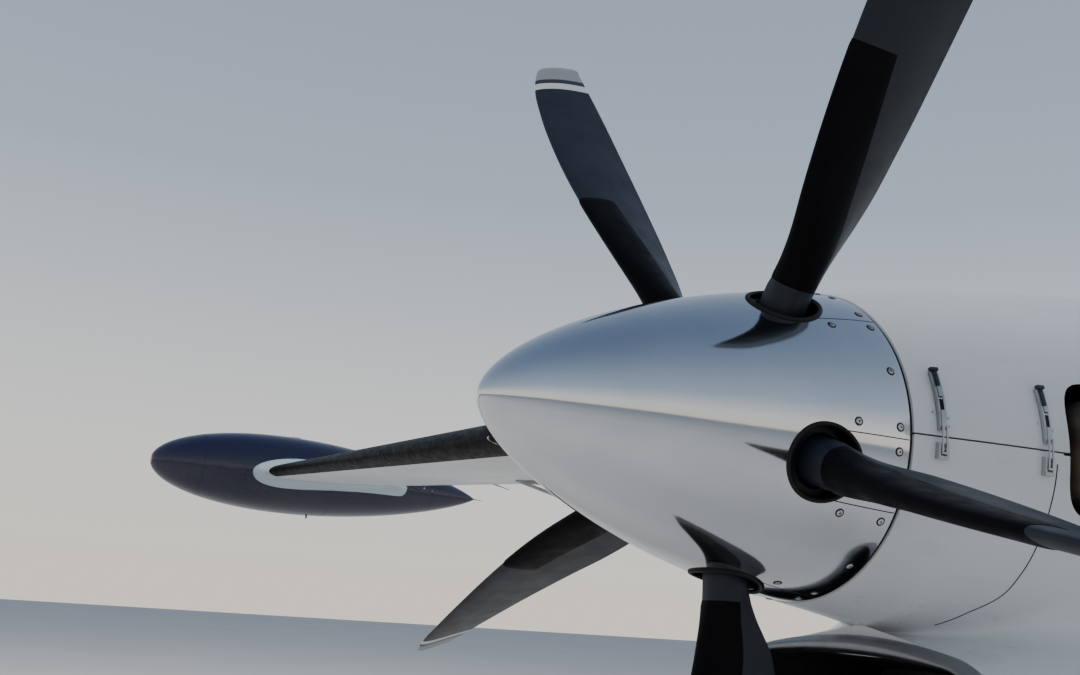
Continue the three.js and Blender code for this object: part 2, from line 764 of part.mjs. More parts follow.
function fairingRing([x, ahead, behind, above, below], grow = 0) {
  const { y, z, chord } = station(x);
  const tall = THICKNESS.tip / 2;
  return wingRing(x, 0, 1, grow).map((p, i) => {
    const f = (p[1] - y) / chord;
    const upper = i <= CHORD_STEPS;
    const mean = z - Math.tan(INCIDENCE * RAD) * f * chord;
    const wider = 1 + (upper ? above : below) / tall;
    return [x, y - ahead + f * (chord + ahead + behind), mean + (p[2] - mean) * wider];
  });
}

function buildTank() {
  const grown = solid(wholeWing(GAP));
  const wing = grown.add(grown.translate(-GAP, 0, 0));
  const skirt = solid(loft(FAIRING.map((row) => fairingRing(row, GAP))));
  add(object, "tip_tank", "navy", surface(tankBody().subtract(skirt)));
  const pad = solid(loft(FAIRING.map((row) => fairingRing(row))));
  add(object, "tank_fairing", "pale", surface(pad.subtract(wing)));
}

power.position.set(
  NACELLE_X,
  station(NACELLE_X).y - BASE_AHEAD_OF_LE,
  station(NACELLE_X).z - LE_ABOVE_THRUST,
);
buildWing();
buildCowling();
buildEngine();
buildNacelleRear();
buildSpinner();
buildBlades();
buildLatches();
buildTank();

export default object;
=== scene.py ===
"""Looks of a starboard aircraft wing with its turboprop engine, propeller and tip tank.

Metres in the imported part's frame: +X inboard, +Y aft, +Z up. Tables are in millimetres
unless their comment says metres. The word y alone means behind the spinner's base.
"""
import json
import math

import bmesh
import bpy
import numpy as np
from mathutils import Matrix, Vector

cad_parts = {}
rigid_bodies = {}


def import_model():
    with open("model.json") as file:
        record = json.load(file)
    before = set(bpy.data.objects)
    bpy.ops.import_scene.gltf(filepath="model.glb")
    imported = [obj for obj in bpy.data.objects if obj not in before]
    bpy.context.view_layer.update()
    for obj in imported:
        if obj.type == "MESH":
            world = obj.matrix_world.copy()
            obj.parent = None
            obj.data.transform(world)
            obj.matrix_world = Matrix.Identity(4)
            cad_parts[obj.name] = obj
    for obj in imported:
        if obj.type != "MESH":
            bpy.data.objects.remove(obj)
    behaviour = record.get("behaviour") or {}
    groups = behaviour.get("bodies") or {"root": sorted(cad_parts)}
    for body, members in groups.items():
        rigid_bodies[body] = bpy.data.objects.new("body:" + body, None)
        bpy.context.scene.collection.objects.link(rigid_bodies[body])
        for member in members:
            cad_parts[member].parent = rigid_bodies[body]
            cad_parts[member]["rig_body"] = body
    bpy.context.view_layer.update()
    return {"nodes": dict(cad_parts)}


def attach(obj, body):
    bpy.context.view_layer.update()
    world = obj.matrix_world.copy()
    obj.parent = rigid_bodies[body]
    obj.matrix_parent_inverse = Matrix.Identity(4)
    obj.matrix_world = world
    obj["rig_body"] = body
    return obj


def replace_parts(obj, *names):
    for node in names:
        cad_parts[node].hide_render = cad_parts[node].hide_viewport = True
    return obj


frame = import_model()

MM = 0.001
GAP = 0.0003
THRUST = np.array([-1.36, -1.45248, -0.33284])
SIDES = ((1, "inboard"), (-1, "outboard"))

# Camera and floor
CAMERA_AT = (-0.0409, -2.63818, -0.59824)
CAMERA_RIGHT = (0.49209, 0.86741, 0.07427)
CAMERA_UP = (0.16526, -0.17684, 0.97031)
CAMERA_BACK = (0.85471, -0.46521, -0.23037)
FOCAL_PIXELS = 1100
PHOTO_WIDTH = 1080
SENSOR = 36.0
FLOOR_Z = -2.53
FLOOR_HALF = 60.0

# Sky from the horizon up: height of a direction, colour
SKY = [
  (0.0, (1.0, 0.92, 0.80, 1)),
  (0.10, (0.92, 0.91, 0.88, 1)),
  (0.35, (0.46, 0.55, 0.67, 1)),
  (1.0, (0.16, 0.23, 0.36, 1)),
]
SKY_STRENGTH = 0.95

# Lights: name, place, target, size, watts, colour
LIGHTS = [
  ("key", (-14.0, -12.0, 16.0), (-3.0, 0, 0), (14, 14), 2600, (1.0, 0.94, 0.86)),
  ("top", (-4.0, 6.0, 18.0), (-4.0, 0, 0), (20, 16), 2400, (1.0, 0.97, 0.92)),
]


def link(ob):
    bpy.context.scene.collection.objects.link(ob)
    return ob


def make_camera():
    data = bpy.data.cameras.new("camera")
    data.sensor_width = SENSOR
    data.lens = SENSOR * FOCAL_PIXELS / PHOTO_WIDTH
    data.clip_end = 200
    camera = link(bpy.data.objects.new("camera", data))
    matrix = Matrix.Identity(4)
    for c, column in enumerate((CAMERA_RIGHT, CAMERA_UP, CAMERA_BACK, CAMERA_AT)):
        for r in range(3):
            matrix[r][c] = column[r]
    camera.matrix_world = matrix
    bpy.context.scene.camera = camera


def area_light(name, at, target, size, power, color):
    data = bpy.data.lights.new(name, "AREA")
    data.shape = "RECTANGLE"
    data.size, data.size_y = size
    data.energy = power
    data.color = color
    lamp = link(bpy.data.objects.new(name, data))
    lamp.location = at
    lamp.rotation_euler = (Vector(target) - Vector(at)).to_track_quat("-Z", "Y").to_euler()
    lamp.visible_glossy = False


# Materials
class Graph:
    """A material's node tree, with short calls to add nodes and join them."""

    def __init__(self, name):
        self.material = bpy.data.materials.new(name)
        self.material.use_nodes = True
        self.tree = self.material.node_tree
        self.shader = self.tree.nodes["Principled BSDF"]
        self.position = self.add("TexCoord").outputs["Object"]

    def add(self, kind, **values):
        node = self.tree.nodes.new("ShaderNode" + kind)
        for key, value in values.items():
            setattr(node, key, value)
        return node

    def join(self, source, target):
        if isinstance(source, (int, float, tuple)):
            target.default_value = source
        else:
            self.tree.links.new(source, target)

    def noise(self, scale, detail, stretch=(1, 1, 1), roughness=0.55):
        mapping = self.add("Mapping")
        self.join(self.position, mapping.inputs["Vector"])
        mapping.inputs["Scale"].default_value = stretch
        noise = self.add("TexNoise")
        self.join(mapping.outputs[0], noise.inputs["Vector"])
        noise.inputs["Scale"].default_value = scale
        noise.inputs["Detail"].default_value = detail
        noise.inputs["Roughness"].default_value = roughness
        return noise.outputs["Fac"]

    def ramp(self, value, low, high, start=0.0, end=1.0):
        node = self.add("MapRange")
        self.join(value, node.inputs["Value"])
        for name, number in (("From Min", low), ("From Max", high), ("To Min", start), ("To Max", end)):
            node.inputs[name].default_value = number
        return node.outputs["Result"]

    def mix(self, factor, a, b, blend="MIX"):
        node = self.add("Mix", data_type="RGBA", blend_type=blend)
        self.join(factor, node.inputs[0])
        self.join(a, node.inputs[6])
        self.join(b, node.inputs[7])
        return node.outputs[2]

    def math(self, operation, a, b=0.0):
        node = self.add("Math", operation=operation)
        self.join(a, node.inputs[0])
        self.join(b, node.inputs[1])
        return node.outputs[0]

    def axis(self, origin=(0, 0, 0)):
        move = self.add("VectorMath", operation="SUBTRACT")
        self.join(self.position, move.inputs[0])
        move.inputs[1].default_value = origin
        split = self.add("SeparateXYZ")
        self.join(move.outputs[0], split.inputs[0])
        return split.outputs

    def set(self, **values):
        """Sets inputs of the shader to numbers, colours or other nodes' outputs."""
        for key, value in values.items():
            self.join(value, self.shader.inputs[key.replace("_", " ")])

    def bump(self, height, strength, distance, under=None):
        node = self.add("Bump")
        node.inputs["Strength"].default_value = strength
        node.inputs["Distance"].default_value = distance
        self.join(height, node.inputs["Height"])
        if under is not None:
            self.join(under, node.inputs["Normal"])
        self.join(node.outputs[0], self.shader.inputs["Normal"])
        return node.outputs[0]


def rgba(color, factor=1.0):
    return (color[0] * factor, color[1] * factor, color[2] * factor, 1.0)


# Size of the wing's sheets, whose tone differs a little, in metres
SHEET_X, SHEET_Y = 0.42, 0.55


def sheet_tones(g, base, spread):
    """Changes a colour a little from one sheet of the skin to the next."""
    x, y, _ = g.axis()
    cell = g.add("TexWhiteNoise", noise_dimensions="2D")
    pair = g.add("CombineXYZ")
    g.join(g.math("FLOOR", g.math("DIVIDE", x, SHEET_X)), pair.inputs[0])
    g.join(g.math("FLOOR", g.math("DIVIDE", y, SHEET_Y)), pair.inputs[1])
    g.join(pair.outputs[0], cell.inputs["Vector"])
    tone = g.ramp(cell.outputs["Value"], 0, 1, 1 - spread, 1 + spread)
    grey = g.add("CombineColor")
    for channel in range(3):
        g.join(tone, grey.inputs[channel])
    return g.mix(1.0, base, grey.outputs[0], "MULTIPLY")


def finish_paint(name, color, rough, coat=0.0, dirt=(0.10, 0.09, 0.08), dirty=0.25, spread=0.0):
    """Sprayed paint: faint tone changes, streaks of dirt along the airflow, and fine orange peel."""
    g = Graph(name)
    tone = g.ramp(g.noise(1.7, 3), 0.3, 0.7)
    base = g.mix(tone, rgba(color, 0.93), rgba(color, 1.04))
    if spread:
        base = sheet_tones(g, base, spread)
    streak = g.noise(9, 5, (3.0, 0.35, 3.0), 0.62)
    specks = g.noise(70, 3)
    amount = g.math("MULTIPLY", g.ramp(streak, 0.52, 0.78), g.ramp(specks, 0.35, 0.65, 0.5, 1.0))
    amount = g.math("MULTIPLY", amount, dirty)
    wear = g.ramp(g.noise(14, 5), 0.3, 0.75, rough * 0.85, rough * 1.25)
    g.set(Base_Color=g.mix(amount, base, rgba(dirt)), Roughness=wear)
    g.set(Coat_Weight=coat, Coat_Roughness=0.12)
    peel = g.bump(g.noise(420, 2), 0.05, 0.0004)
    g.bump(g.noise(5, 2), 0.06, 0.004, peel)
    return g.material


def finish_metal(name, color, rough, grain, grain_scale, tint=None, wavy=0.0, strength=0.06):
    """Bare metal: directional grain in roughness and bump, and stains or heat colour."""
    g = Graph(name)
    cloud = g.ramp(g.noise(4.5, 4), 0.35, 0.72)
    dark = rgba(tint) if tint else rgba(color, 0.86)
    lines = g.noise(grain_scale, 3, grain, 0.7)
    smear = g.noise(2.6, 5, (1.0, 0.5, 1.0))
    roughness = g.math("MULTIPLY", g.ramp(lines, 0.3, 0.7, 0.85, 1.2), g.ramp(smear, 0.3, 0.7, 0.8, 1.3))
    g.set(Base_Color=g.mix(cloud, rgba(color), dark), Metallic=1.0)
    g.set(Roughness=g.math("MULTIPLY", roughness, rough))
    fine = g.bump(lines, strength, 0.0006)
    if wavy:
        g.bump(g.noise(3.2, 2, (1.0, 0.6, 1.0)), wavy, 0.02, fine)
    return g.material


def finish_rubber(name, color, rough, scale=500, dusty=0.2, shine=0.25):
    """Dull rubber with patches of dust."""
    g = Graph(name)
    dust = g.ramp(g.noise(12, 5), 0.45, 0.8, 0.0, dusty)
    g.set(Base_Color=g.mix(dust, rgba(color), (0.045, 0.043, 0.042, 1)), Specular_IOR_Level=shine)
    g.set(Roughness=g.ramp(g.noise(30, 4), 0.3, 0.7, rough * 0.8, rough * 1.3))
    g.bump(g.noise(scale, 2), 0.10, 0.0003)
    return g.material


# Tip bands of a blade, each from its inner radius to the tip: radius in metres, colour
TIP_BANDS = [
  (1.047, (0.62, 0.63, 0.64)),
  (1.073, (0.030, 0.033, 0.042)),
  (1.091, (0.26, 0.28, 0.30)),
]
BAND_BLUR = 0.0006


def finish_blade(name):
    """Dark satin blade paint with tip bands and fine scratches across the chord."""
    g = Graph(name)
    x, _, z = g.axis(tuple(THRUST))
    radius = g.math("SQRT", g.math("ADD", g.math("MULTIPLY", x, x), g.math("MULTIPLY", z, z)))
    tone = g.ramp(g.noise(6, 5, (1, 1, 1), 0.6), 0.3, 0.7)
    base = g.mix(tone, (0.009, 0.012, 0.020, 1), (0.014, 0.018, 0.028, 1))
    for inner, color in TIP_BANDS:
        edge = g.ramp(radius, inner - BAND_BLUR, inner + BAND_BLUR)
        base = g.mix(edge, base, rgba(color))
    scratches = g.ramp(g.noise(38, 6, (1, 9, 1), 0.75), 0.64, 0.80, 0.0, 0.10)
    g.set(Base_Color=g.mix(scratches, base, (0.07, 0.075, 0.085, 1)), Specular_IOR_Level=0.30)
    g.set(Roughness=g.ramp(g.noise(20, 5), 0.3, 0.7, 0.40, 0.52))
    g.bump(g.noise(300, 3), 0.10, 0.0004)
    return g.material


def finish_heat(name):
    """Steel stained by heat, browner towards the stubs' outer ends."""
    g = Graph(name)
    cloud = g.ramp(g.noise(9, 5), 0.3, 0.7)
    far = g.ramp(g.math("ABSOLUTE", g.axis(tuple(THRUST))[0]), 0.22, 0.38)
    heat = g.mix(far, (0.10, 0.085, 0.075, 1), (0.30, 0.22, 0.15, 1))
    g.set(Base_Color=g.mix(cloud, heat, (0.045, 0.042, 0.045, 1)), Metallic=0.85)
    g.set(Roughness=g.ramp(g.noise(25, 4), 0.3, 0.7, 0.35, 0.6))
    g.bump(g.noise(120, 4), 0.15, 0.0005)
    return g.material


def finish_floor(name):
    """Plain pale floor."""
    g = Graph(name)
    tone = g.ramp(g.noise(0.35, 5), 0.3, 0.7)
    g.set(Base_Color=g.mix(tone, (0.62, 0.60, 0.57, 1), (0.66, 0.64, 0.61, 1)), Roughness=0.85)
    g.bump(g.noise(40, 4), 0.1, 0.002)
    return g.material


EVEN = (1, 1, 1)
POLISHED = finish_metal("polished_aluminium", (0.70, 0.72, 0.75), 0.085, (0.4, 14, 0.4), 24,
                        wavy=0.08, strength=0.02)
# Satin metal of the intake lip, darkened to paint the shade it lies in and the dark ground it reflects.
LIP_METAL_PAINTED_SHADE = finish_metal("lip_metal_painted_shade", (0.24, 0.25, 0.27), 0.30, (1, 6, 1), 40)
ALLOY = finish_metal("satin_alloy", (0.56, 0.58, 0.60), 0.34, (8, 1, 1), 60, (0.30, 0.30, 0.31))
FASTENER = finish_metal("fastener_steel", (0.62, 0.61, 0.60), 0.28, EVEN, 300, (0.30, 0.27, 0.24))
PAINT = finish_paint("cowl_paint", (0.70, 0.725, 0.75), 0.30, 0.25, dirty=0.12)
# Near-black inside of the intake duct: painted shade of the deep duct, with streaks of dirt.
DUCT_PAINTED_SHADE = finish_paint("duct_painted_shade", (0.022, 0.022, 0.024), 0.5, dirty=0.3)
WING_PAINT = finish_paint("wing_paint", (0.66, 0.68, 0.70), 0.36, 0.1, dirty=0.35, spread=0.025)
PALE = finish_paint("fairing_paint", (0.40, 0.50, 0.58), 0.33, 0.2, dirty=0.2)
NAVY = finish_paint("tank_paint", (0.006, 0.007, 0.032), 0.24, 0.35, (0.03, 0.03, 0.04))
BLADE_PAINT = finish_blade("blade_paint")
BOOT = finish_rubber("boot_rubber", (0.004, 0.004, 0.005), 0.44, 22, 0.04, 0.04)
RUBBER = finish_rubber("seal_rubber", (0.005, 0.005, 0.005), 0.5)
SEAM = finish_rubber("seam_sealant", (0.012, 0.012, 0.013), 0.6)
DARK = finish_metal("engine_casting", (0.10, 0.10, 0.11), 0.55, EVEN, 90, (0.05, 0.045, 0.04), 0, 0.2)
STEEL = finish_heat("hot_steel")


# Mesh helpers
def angles(count):
    return [2 * math.pi * i / count for i in range(count)]


def shade(mesh, angle):
    mesh.shade_smooth()
    mesh.set_sharp_from_angle(angle=math.radians(angle))


def carried(ob, body):
    """A piece rides on its body."""
    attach(ob, body)


def stand_in(ob, node, body="root"):
    """A piece is carried by its body and stands for a CAD node."""
    carried(ob, body)
    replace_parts(ob, node)


def piece(name, verts, faces, material, body, angle=35.0):
    mesh = bpy.data.meshes.new(name)
    mesh.from_pydata([tuple(v) for v in verts], [], [tuple(f) for f in faces])
    mesh.validate()
    shade(mesh, angle)
    mesh.materials.append(material)
    ob = link(bpy.data.objects.new(name, mesh))
    if body:
        carried(ob, body)
    return ob


def reworked(ob, change):
    """Changes a piece's mesh through bmesh."""
    work = bmesh.new()
    work.from_mesh(ob.data)
    change(work)
    work.to_mesh(ob.data)
    work.free()
    return ob


def turned_out(ob):
    """Turns a closed mesh's faces outwards."""
    return reworked(ob, lambda work: bmesh.ops.recalc_face_normals(work, faces=work.faces[:]))


def lofted(name, rings, material, body, angle=35.0, closed=False):
    """A body through rings (n, m, 3) of points, capped at both ends or closed into a loop."""
    rings = np.asarray(rings, float)
    n, m, _ = rings.shape
    faces = []
    for i in range(n if closed else n - 1):
        for j in range(m):
            k, up = (j + 1) % m, (i + 1) % n
            faces.append((i * m + j, i * m + k, up * m + k, up * m + j))
    if not closed:
        faces.append(tuple(range(m))[::-1])
        faces.append(tuple((n - 1) * m + j for j in range(m)))
    return turned_out(piece(name, rings.reshape(-1, 3), faces, material, body, angle))


def revolved(name, profile, sides, material, body):
    """A closed profile of (radius, y) in metres turned about the thrust line. Radius 0 is a pole."""
    verts, faces, rows = [], [], []
    for radius, y in profile:
        if radius < 1e-6:
            rows.append([len(verts)] * sides)
            verts.append(THRUST + (0, y, 0))
            continue
        rows.append(list(range(len(verts), len(verts) + sides)))
        verts += [THRUST + (radius * math.sin(a), y, radius * math.cos(a)) for a in angles(sides)]
    for i in range(len(rows)):
        a, b = rows[i], rows[(i + 1) % len(rows)]
        if len(set(a)) == 1 and len(set(b)) == 1:
            continue
        for j in range(sides):
            k = (j + 1) % sides
            faces.append(list(dict.fromkeys((a[j], a[k], b[k], b[j]))))
    return turned_out(piece(name, verts, faces, material, body))


def applied(ob):
    """Applies a piece's modifiers."""
    graph = bpy.context.evaluated_depsgraph_get()
    mesh = bpy.data.meshes.new_from_object(ob.evaluated_get(graph))
    ob.modifiers.clear()
    ob.data = mesh


def boolean(ob, cutters, operation="DIFFERENCE"):
    """Cuts ob with the other solids, which are then gone."""
    for cutter in cutters:
        modifier = ob.modifiers.new("cut", "BOOLEAN")
        modifier.operation = operation
        modifier.solver = "EXACT"
        modifier.object = cutter
        applied(ob)
        bpy.data.objects.remove(cutter)


def tidied(ob, angle=35.0, merge=1e-5):
    """Merges the points that a cut leaves almost in one place, and shades the piece again."""
    def clean(work):
        bmesh.ops.remove_doubles(work, verts=work.verts[:], dist=merge)
        bmesh.ops.dissolve_degenerate(work, edges=work.edges[:], dist=merge)

    reworked(ob, clean)
    shade(ob.data, angle)


def values_of(items, key, kind, width=1):
    values = np.empty(len(items) * width, kind)
    items.foreach_get(key, values)
    return values if width == 1 else values.reshape(-1, width)


def true_normals(ob, normals_at, near, limit=0.8):
    """Gives the faces on a known smooth surface its exact normals, so that reflections run clean."""
    mesh = ob.data
    vertex = values_of(mesh.loops, "vertex_index", np.int32)
    away, exact = normals_at(values_of(mesh.vertices, "co", float, 3))
    face = values_of(mesh.polygons, "normal", float, 3)
    face = np.repeat(face, values_of(mesh.polygons, "loop_total", np.int32), axis=0)
    corner = np.array([n.vector for n in mesh.corner_normals])
    on = (np.abs(away[vertex]) < near) & ((face * exact[vertex]).sum(1) > limit)
    mesh.normals_split_custom_set(np.where(on[:, None], exact[vertex], corner).tolist())


def rod_piece(name, start, end, radius, sides, material=SEAM, body=None, taper=1.0):
    a, b = Vector(start), Vector(end)
    turn = (b - a).to_track_quat("Z", "Y").to_matrix()
    rings = []
    for at, r in ((a, radius), (b, radius * taper)):
        ring = [at + turn @ Vector((r * math.cos(t), r * math.sin(t), 0)) for t in angles(sides)]
        rings.append([tuple(p) for p in ring])
    return lofted(name, rings, material, body)


def tube(name, path, radii, material, body, sides, closed=False):
    """A round tube along a path of points, with a radius for each of them."""
    path = [Vector(p) for p in path]
    n = len(path)
    rings = []
    side = None
    for i, (p, r) in enumerate(zip(path, radii)):
        before = path[(i - 1) % n] if closed or i > 0 else p
        after = path[(i + 1) % n] if closed or i < n - 1 else p
        along = (after - before).normalized()
        if side is None:
            side = along.orthogonal().normalized()
        side = (side - along * side.dot(along)).normalized()
        up = along.cross(side)
        rings.append([tuple(p + side * (r * math.cos(t)) + up * (r * math.sin(t))) for t in angles(sides)])
    lofted(name, rings, material, body, 60 if closed else 50, closed)


def strip(name, spots, width, height, material, body, sink=0.0004):
    """A flat raised line along spots, a list of (point, normal) on a surface."""
    rings = []
    points = [Vector(p) for p, _ in spots]
    for i, (p, (_, normal)) in enumerate(zip(points, spots)):
        along = (points[min(i + 1, len(points) - 1)] - points[max(i - 1, 0)]).normalized()
        n = Vector(normal).normalized()
        side = along.cross(n).normalized() * (width / 2)
        low, high = p - n * sink, p + n * height
        rings.append([tuple(low - side), tuple(low + side), tuple(high + side), tuple(high - side)])
    lofted(name, rings, material, body, 30)


def heads(name, spots, radius, height, material, body, sides=10, recess=False, dome=0.5):
    """Many fastener heads as one mesh, at spots, a list of (point, normal)."""
    verts, faces = [], []
    tall = height / radius
    rows = [(1.0, -0.4), (1.0, tall * (1 - dome)), (0.72, tall)]
    if recess:
        rows += [(0.34, tall), (0.26, tall * 0.2)]
    for point, normal in spots:
        p, n = Vector(point), Vector(normal).normalized()
        a = n.orthogonal().normalized()
        b = n.cross(a)
        start = len(verts)
        for r, h in rows:
            for t in angles(sides):
                out = a * math.cos(t) + b * math.sin(t)
                verts.append(tuple(p + out * (r * radius) + n * (h * radius)))
        for i in range(len(rows) - 1):
            row, up = start + i * sides, start + (i + 1) * sides
            for j in range(sides):
                k = (j + 1) % sides
                faces.append((row + j, row + k, up + k, up + j))
        faces.append(tuple(range(start, start + sides))[::-1])
        faces.append(tuple(range(len(verts) - sides, len(verts))))
    piece(name, verts, faces, material, body, 40)


def dressed(node, material, angle, bevel=0.0):
    """A smooth-shaded stand-in with rounded edges for a CAD node, in the same place."""
    source = frame["nodes"][node]
    ob = link(bpy.data.objects.new(node + "_skin", source.data.copy()))
    ob.data.materials.clear()
    ob.data.materials.append(material)
    tidied(ob, angle)
    if bevel:
        flat = math.radians(1)
        reworked(ob, lambda work: bmesh.ops.dissolve_limit(
            work, angle_limit=flat, verts=work.verts[:], edges=work.edges[:]))
        modifier = ob.modifiers.new("bevel", "BEVEL")
        modifier.width = bevel
        modifier.segments = 2
        modifier.limit_method = "ANGLE"
        modifier.angle_limit = math.radians(angle)
        applied(ob)
        shade(ob.data, angle)
    stand_in(ob, node, source["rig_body"])


# Shapes shared with the CAD
def smooth_table(table, at, column):
    """Reads a table's column at many places, on a curve that rounds off its corners."""
    xs = np.array([row[0] for row in table], float)
    ys = np.array([row[column] for row in table], float)
    slope = np.gradient(ys, xs)
    at = np.asarray(at, float)
    i = np.clip(np.searchsorted(xs, at) - 1, 0, len(xs) - 2)
    h = xs[i + 1] - xs[i]
    t = np.clip((at - xs[i]) / h, -0.2, 1.2)
    a = (1 + 2 * t) * (1 - t) ** 2
    b = t * (1 - t) ** 2
    c = t * t * (3 - 2 * t)
    d = t * t * (t - 1)
    return a * ys[i] + b * h * slope[i] + c * ys[i + 1] + d * h * slope[i + 1]


def smooth_row(table, at):
    return [smooth_table(table, at, c) for c in range(1, len(table[0]))]


def straight_row(table, at):
    """All columns of a table at one place, on straight lines between its rows."""
    xs, *columns = zip(*table)
    return [float(np.interp(at, xs, column)) for column in columns]


# Nacelle: y, half width, height of its top, bottom and widest line
NACELLE = [
  [3, 244, 244, -244, 0],
  [165, 281, 281, -272, 0],
  [286, 303, 304, -300, 0],
  [416, 322, 329, -330, 0],
  [507, 333, 344, -350, 0],
  [760, 350, 358, -400, 0],
  [1100, 345, 380, -400, 0],
  [1500, 300, 380, -320, 20],
  [1850, 215, 360, -120, 80],
  [2120, 90, 340, 110, 180],
]
COWL_FRONT, COWL_REAR, NACELLE_REAR = 0.003, 0.760, 2.12
WALL = 0.008


def nacelle(y, a, out=0.0):
    """A point of the nacelle at y metres behind the spinner's base, at angle a from the top."""
    y, a = np.broadcast_arrays(np.asarray(y, float), np.asarray(a, float))
    width, top, bottom, mid = (v * MM for v in smooth_row(NACELLE, y / MM))
    c = np.cos(a)
    tall = np.where(c > 0, top - mid, mid - bottom) + out
    return np.stack([(width + out) * np.sin(a), y, mid + tall * c], -1) + THRUST


def nacelle_normal(y, a):
    e = 1e-4
    du = nacelle(y, a + e) - nacelle(y, a - e)
    dv = nacelle(y + e, a) - nacelle(y - e, a)
    n = np.cross(du, dv)
    return n / np.linalg.norm(n, axis=-1, keepdims=True)


def nacelle_spot(y, a):
    return nacelle(y, a), nacelle_normal(y, a)


def nacelle_exact(co):
    """How far points lie off the nacelle's surface, and its normals there."""
    p = co - THRUST
    y = np.clip(p[:, 1], 0, NACELLE_REAR)
    width, top, bottom, mid = (v * MM for v in smooth_row(NACELLE, y / MM))
    up = p[:, 2] - mid
    a = np.arctan2(p[:, 0] / width, up / np.where(up > 0, top - mid, mid - bottom))
    on, normal = nacelle_spot(y, a)
    return np.linalg.norm(co - on, axis=1), normal


# Spinner and propeller, in metres and degrees
SPINNER_R, SPINNER_L, SPINNER_SEAM, SPINNER_WALL = 0.242, 0.555, 0.003, 0.004
BLADES = 5
BLADE_PLANE = -0.131
BLADE_FIRST = 33.6
HOLE, RIM, RIM_THICK, RIM_LIFT = 0.056, 0.0525, 0.0036, 0.0005
HOLE_FROM, HOLE_TO = 0.12, 0.30
SPINNER_STEPS = 88


def blade_angle(k):
    return BLADE_FIRST + 72 * k


def spinner_radius(y):
    along = np.clip((np.asarray(y, float) + SPINNER_L) / SPINNER_L, 0, 1)
    return SPINNER_R * (1 - (1 - along) ** 1.35) ** 0.6


def spinner_exact(co):
    """How far points lie off the spinner's surface, and its normals there."""
    p = co - THRUST
    r = np.maximum(np.hypot(p[:, 0], p[:, 2]), 1e-9)
    y = np.clip(p[:, 1], -SPINNER_L + 1e-5, -SPINNER_SEAM)
    e = 1e-5
    slope = (spinner_radius(y + e) - spinner_radius(y - e)) / (2 * e)
    n = np.stack([p[:, 0] / r, -slope, p[:, 2] / r], -1)
    n /= np.linalg.norm(n, axis=1, keepdims=True)
    return (r - spinner_radius(y)) * np.sqrt(1 / (1 + slope ** 2)), n


def on_spinner(y, degrees):
    a = math.radians(degrees)
    r = float(spinner_radius(y))
    p = THRUST + (r * math.sin(a), y, r * math.cos(a))
    return p, spinner_exact(np.array([p]))[1][0]


def blade_frame(k):
    """Turns a point of a blade standing along +Z into its place in the propeller."""
    turn = Matrix.Rotation(math.radians(blade_angle(k)), 3, "Y")
    return np.array(turn), THRUST + (0, BLADE_PLANE, 0)


# Wing, in metres
ROOT_CHORD, TAPER, SWEEP, DIHEDRAL = 2.392, 0.1566, 0.042, 0.031
ROOT_LE_Y, ROOT_LE_Z = -0.3 * 2.392, -0.070
INCIDENCE = math.tan(math.radians(-0.5))
THICK_ROOT, THICK_TIP, TIP_X, CAMBER = 0.360, 0.128, -8.490, 0.02
RIB_BACK = -0.0123


def wing_point(x, f, upper, out=0.0):
    """A point of the wing's skin at x, at fraction f of its chord."""
    x, f = np.broadcast_arrays(np.asarray(x, float), np.asarray(f, float))
    chord = ROOT_CHORD + TAPER * x
    ratio = (THICK_ROOT + (THICK_TIP - THICK_ROOT) * x / TIP_X) / chord
    g = np.clip(f, 0, 1)
    foil = 0.2969 * np.sqrt(g) - 0.126 * g - 0.3516 * g ** 2 + 0.2843 * g ** 3 - 0.1036 * g ** 4
    mean = CAMBER * np.where(g < 0.4, (0.8 * g - g * g) / 0.16, (0.2 + 0.8 * g - g * g) / 0.36)
    height = mean + np.where(upper, 1, -1) * 5 * ratio * foil
    y = ROOT_LE_Y - SWEEP * x + f * chord
    z = ROOT_LE_Z - DIHEDRAL * x - INCIDENCE * f * chord + height * chord
    p = np.stack([x, y, z], -1)
    return p if not out else p + wing_normal(x, f, upper) * out


def wing_normal(x, f, upper):
    e = 1e-4
    f = np.clip(f, 2 * e, 1 - 2 * e)
    du = wing_point(x, f + e, upper) - wing_point(x, f - e, upper)
    dv = wing_point(x + 1e-3, f, upper) - wing_point(x - 1e-3, f, upper)
    n = np.cross(dv, du) * np.where(upper, 1, -1)[..., None]
    return n / np.linalg.norm(n, axis=-1, keepdims=True)


def wing_spot(x, f, upper, out=0.0):
    return wing_point(x, f, upper, out), wing_normal(x, f, upper)


def wing_exact(co):
    """How far points lie off the wing's surface, and its normals there."""
    x = co[:, 0]
    chord = ROOT_CHORD + TAPER * x
    f = (co[:, 1] - (ROOT_LE_Y - SWEEP * x)) / chord
    g = np.clip(f, 0, 1)
    over, under = (co[:, 2] - wing_point(x, g, np.full(len(x), up))[:, 2] for up in (True, False))
    upper = np.abs(over) < np.abs(under)
    off_edges = np.where((f < 0.004) | (f > 0.999), 1.0, 0.0)
    return np.where(upper, over, under) + off_edges, wing_normal(x, g, upper)


# Propeller
def make_spinner():
    outer, inner = [], []
    for i in range(SPINNER_STEPS + 1):
        y = -SPINNER_L + (SPINNER_L - SPINNER_SEAM) * (i / SPINNER_STEPS) ** 1.6
        r = float(spinner_radius(y))
        outer.append((0.0 if i == 0 else r, y))
        if (r - SPINNER_WALL > 0.03 and i % 3 == 0) or i == SPINNER_STEPS:
            inner.append((r - SPINNER_WALL, y))
    inner.insert(0, (0.0, inner[0][1]))
    shell = revolved("spinner_shell", outer + inner[::-1], 180, POLISHED, "propeller")
    holes = []
    for k in range(BLADES):
        turn, origin = blade_frame(k)
        ends = [origin + turn @ np.array([0, 0, r]) for r in (HOLE_FROM, HOLE_TO)]
        holes.append(rod_piece("hole", *ends, HOLE, 96))
    boolean(shell, holes)
    shade(shell.data, 35)
    true_normals(shell, spinner_exact, 0.0006, 0.85)
    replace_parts(shell, "spinner")


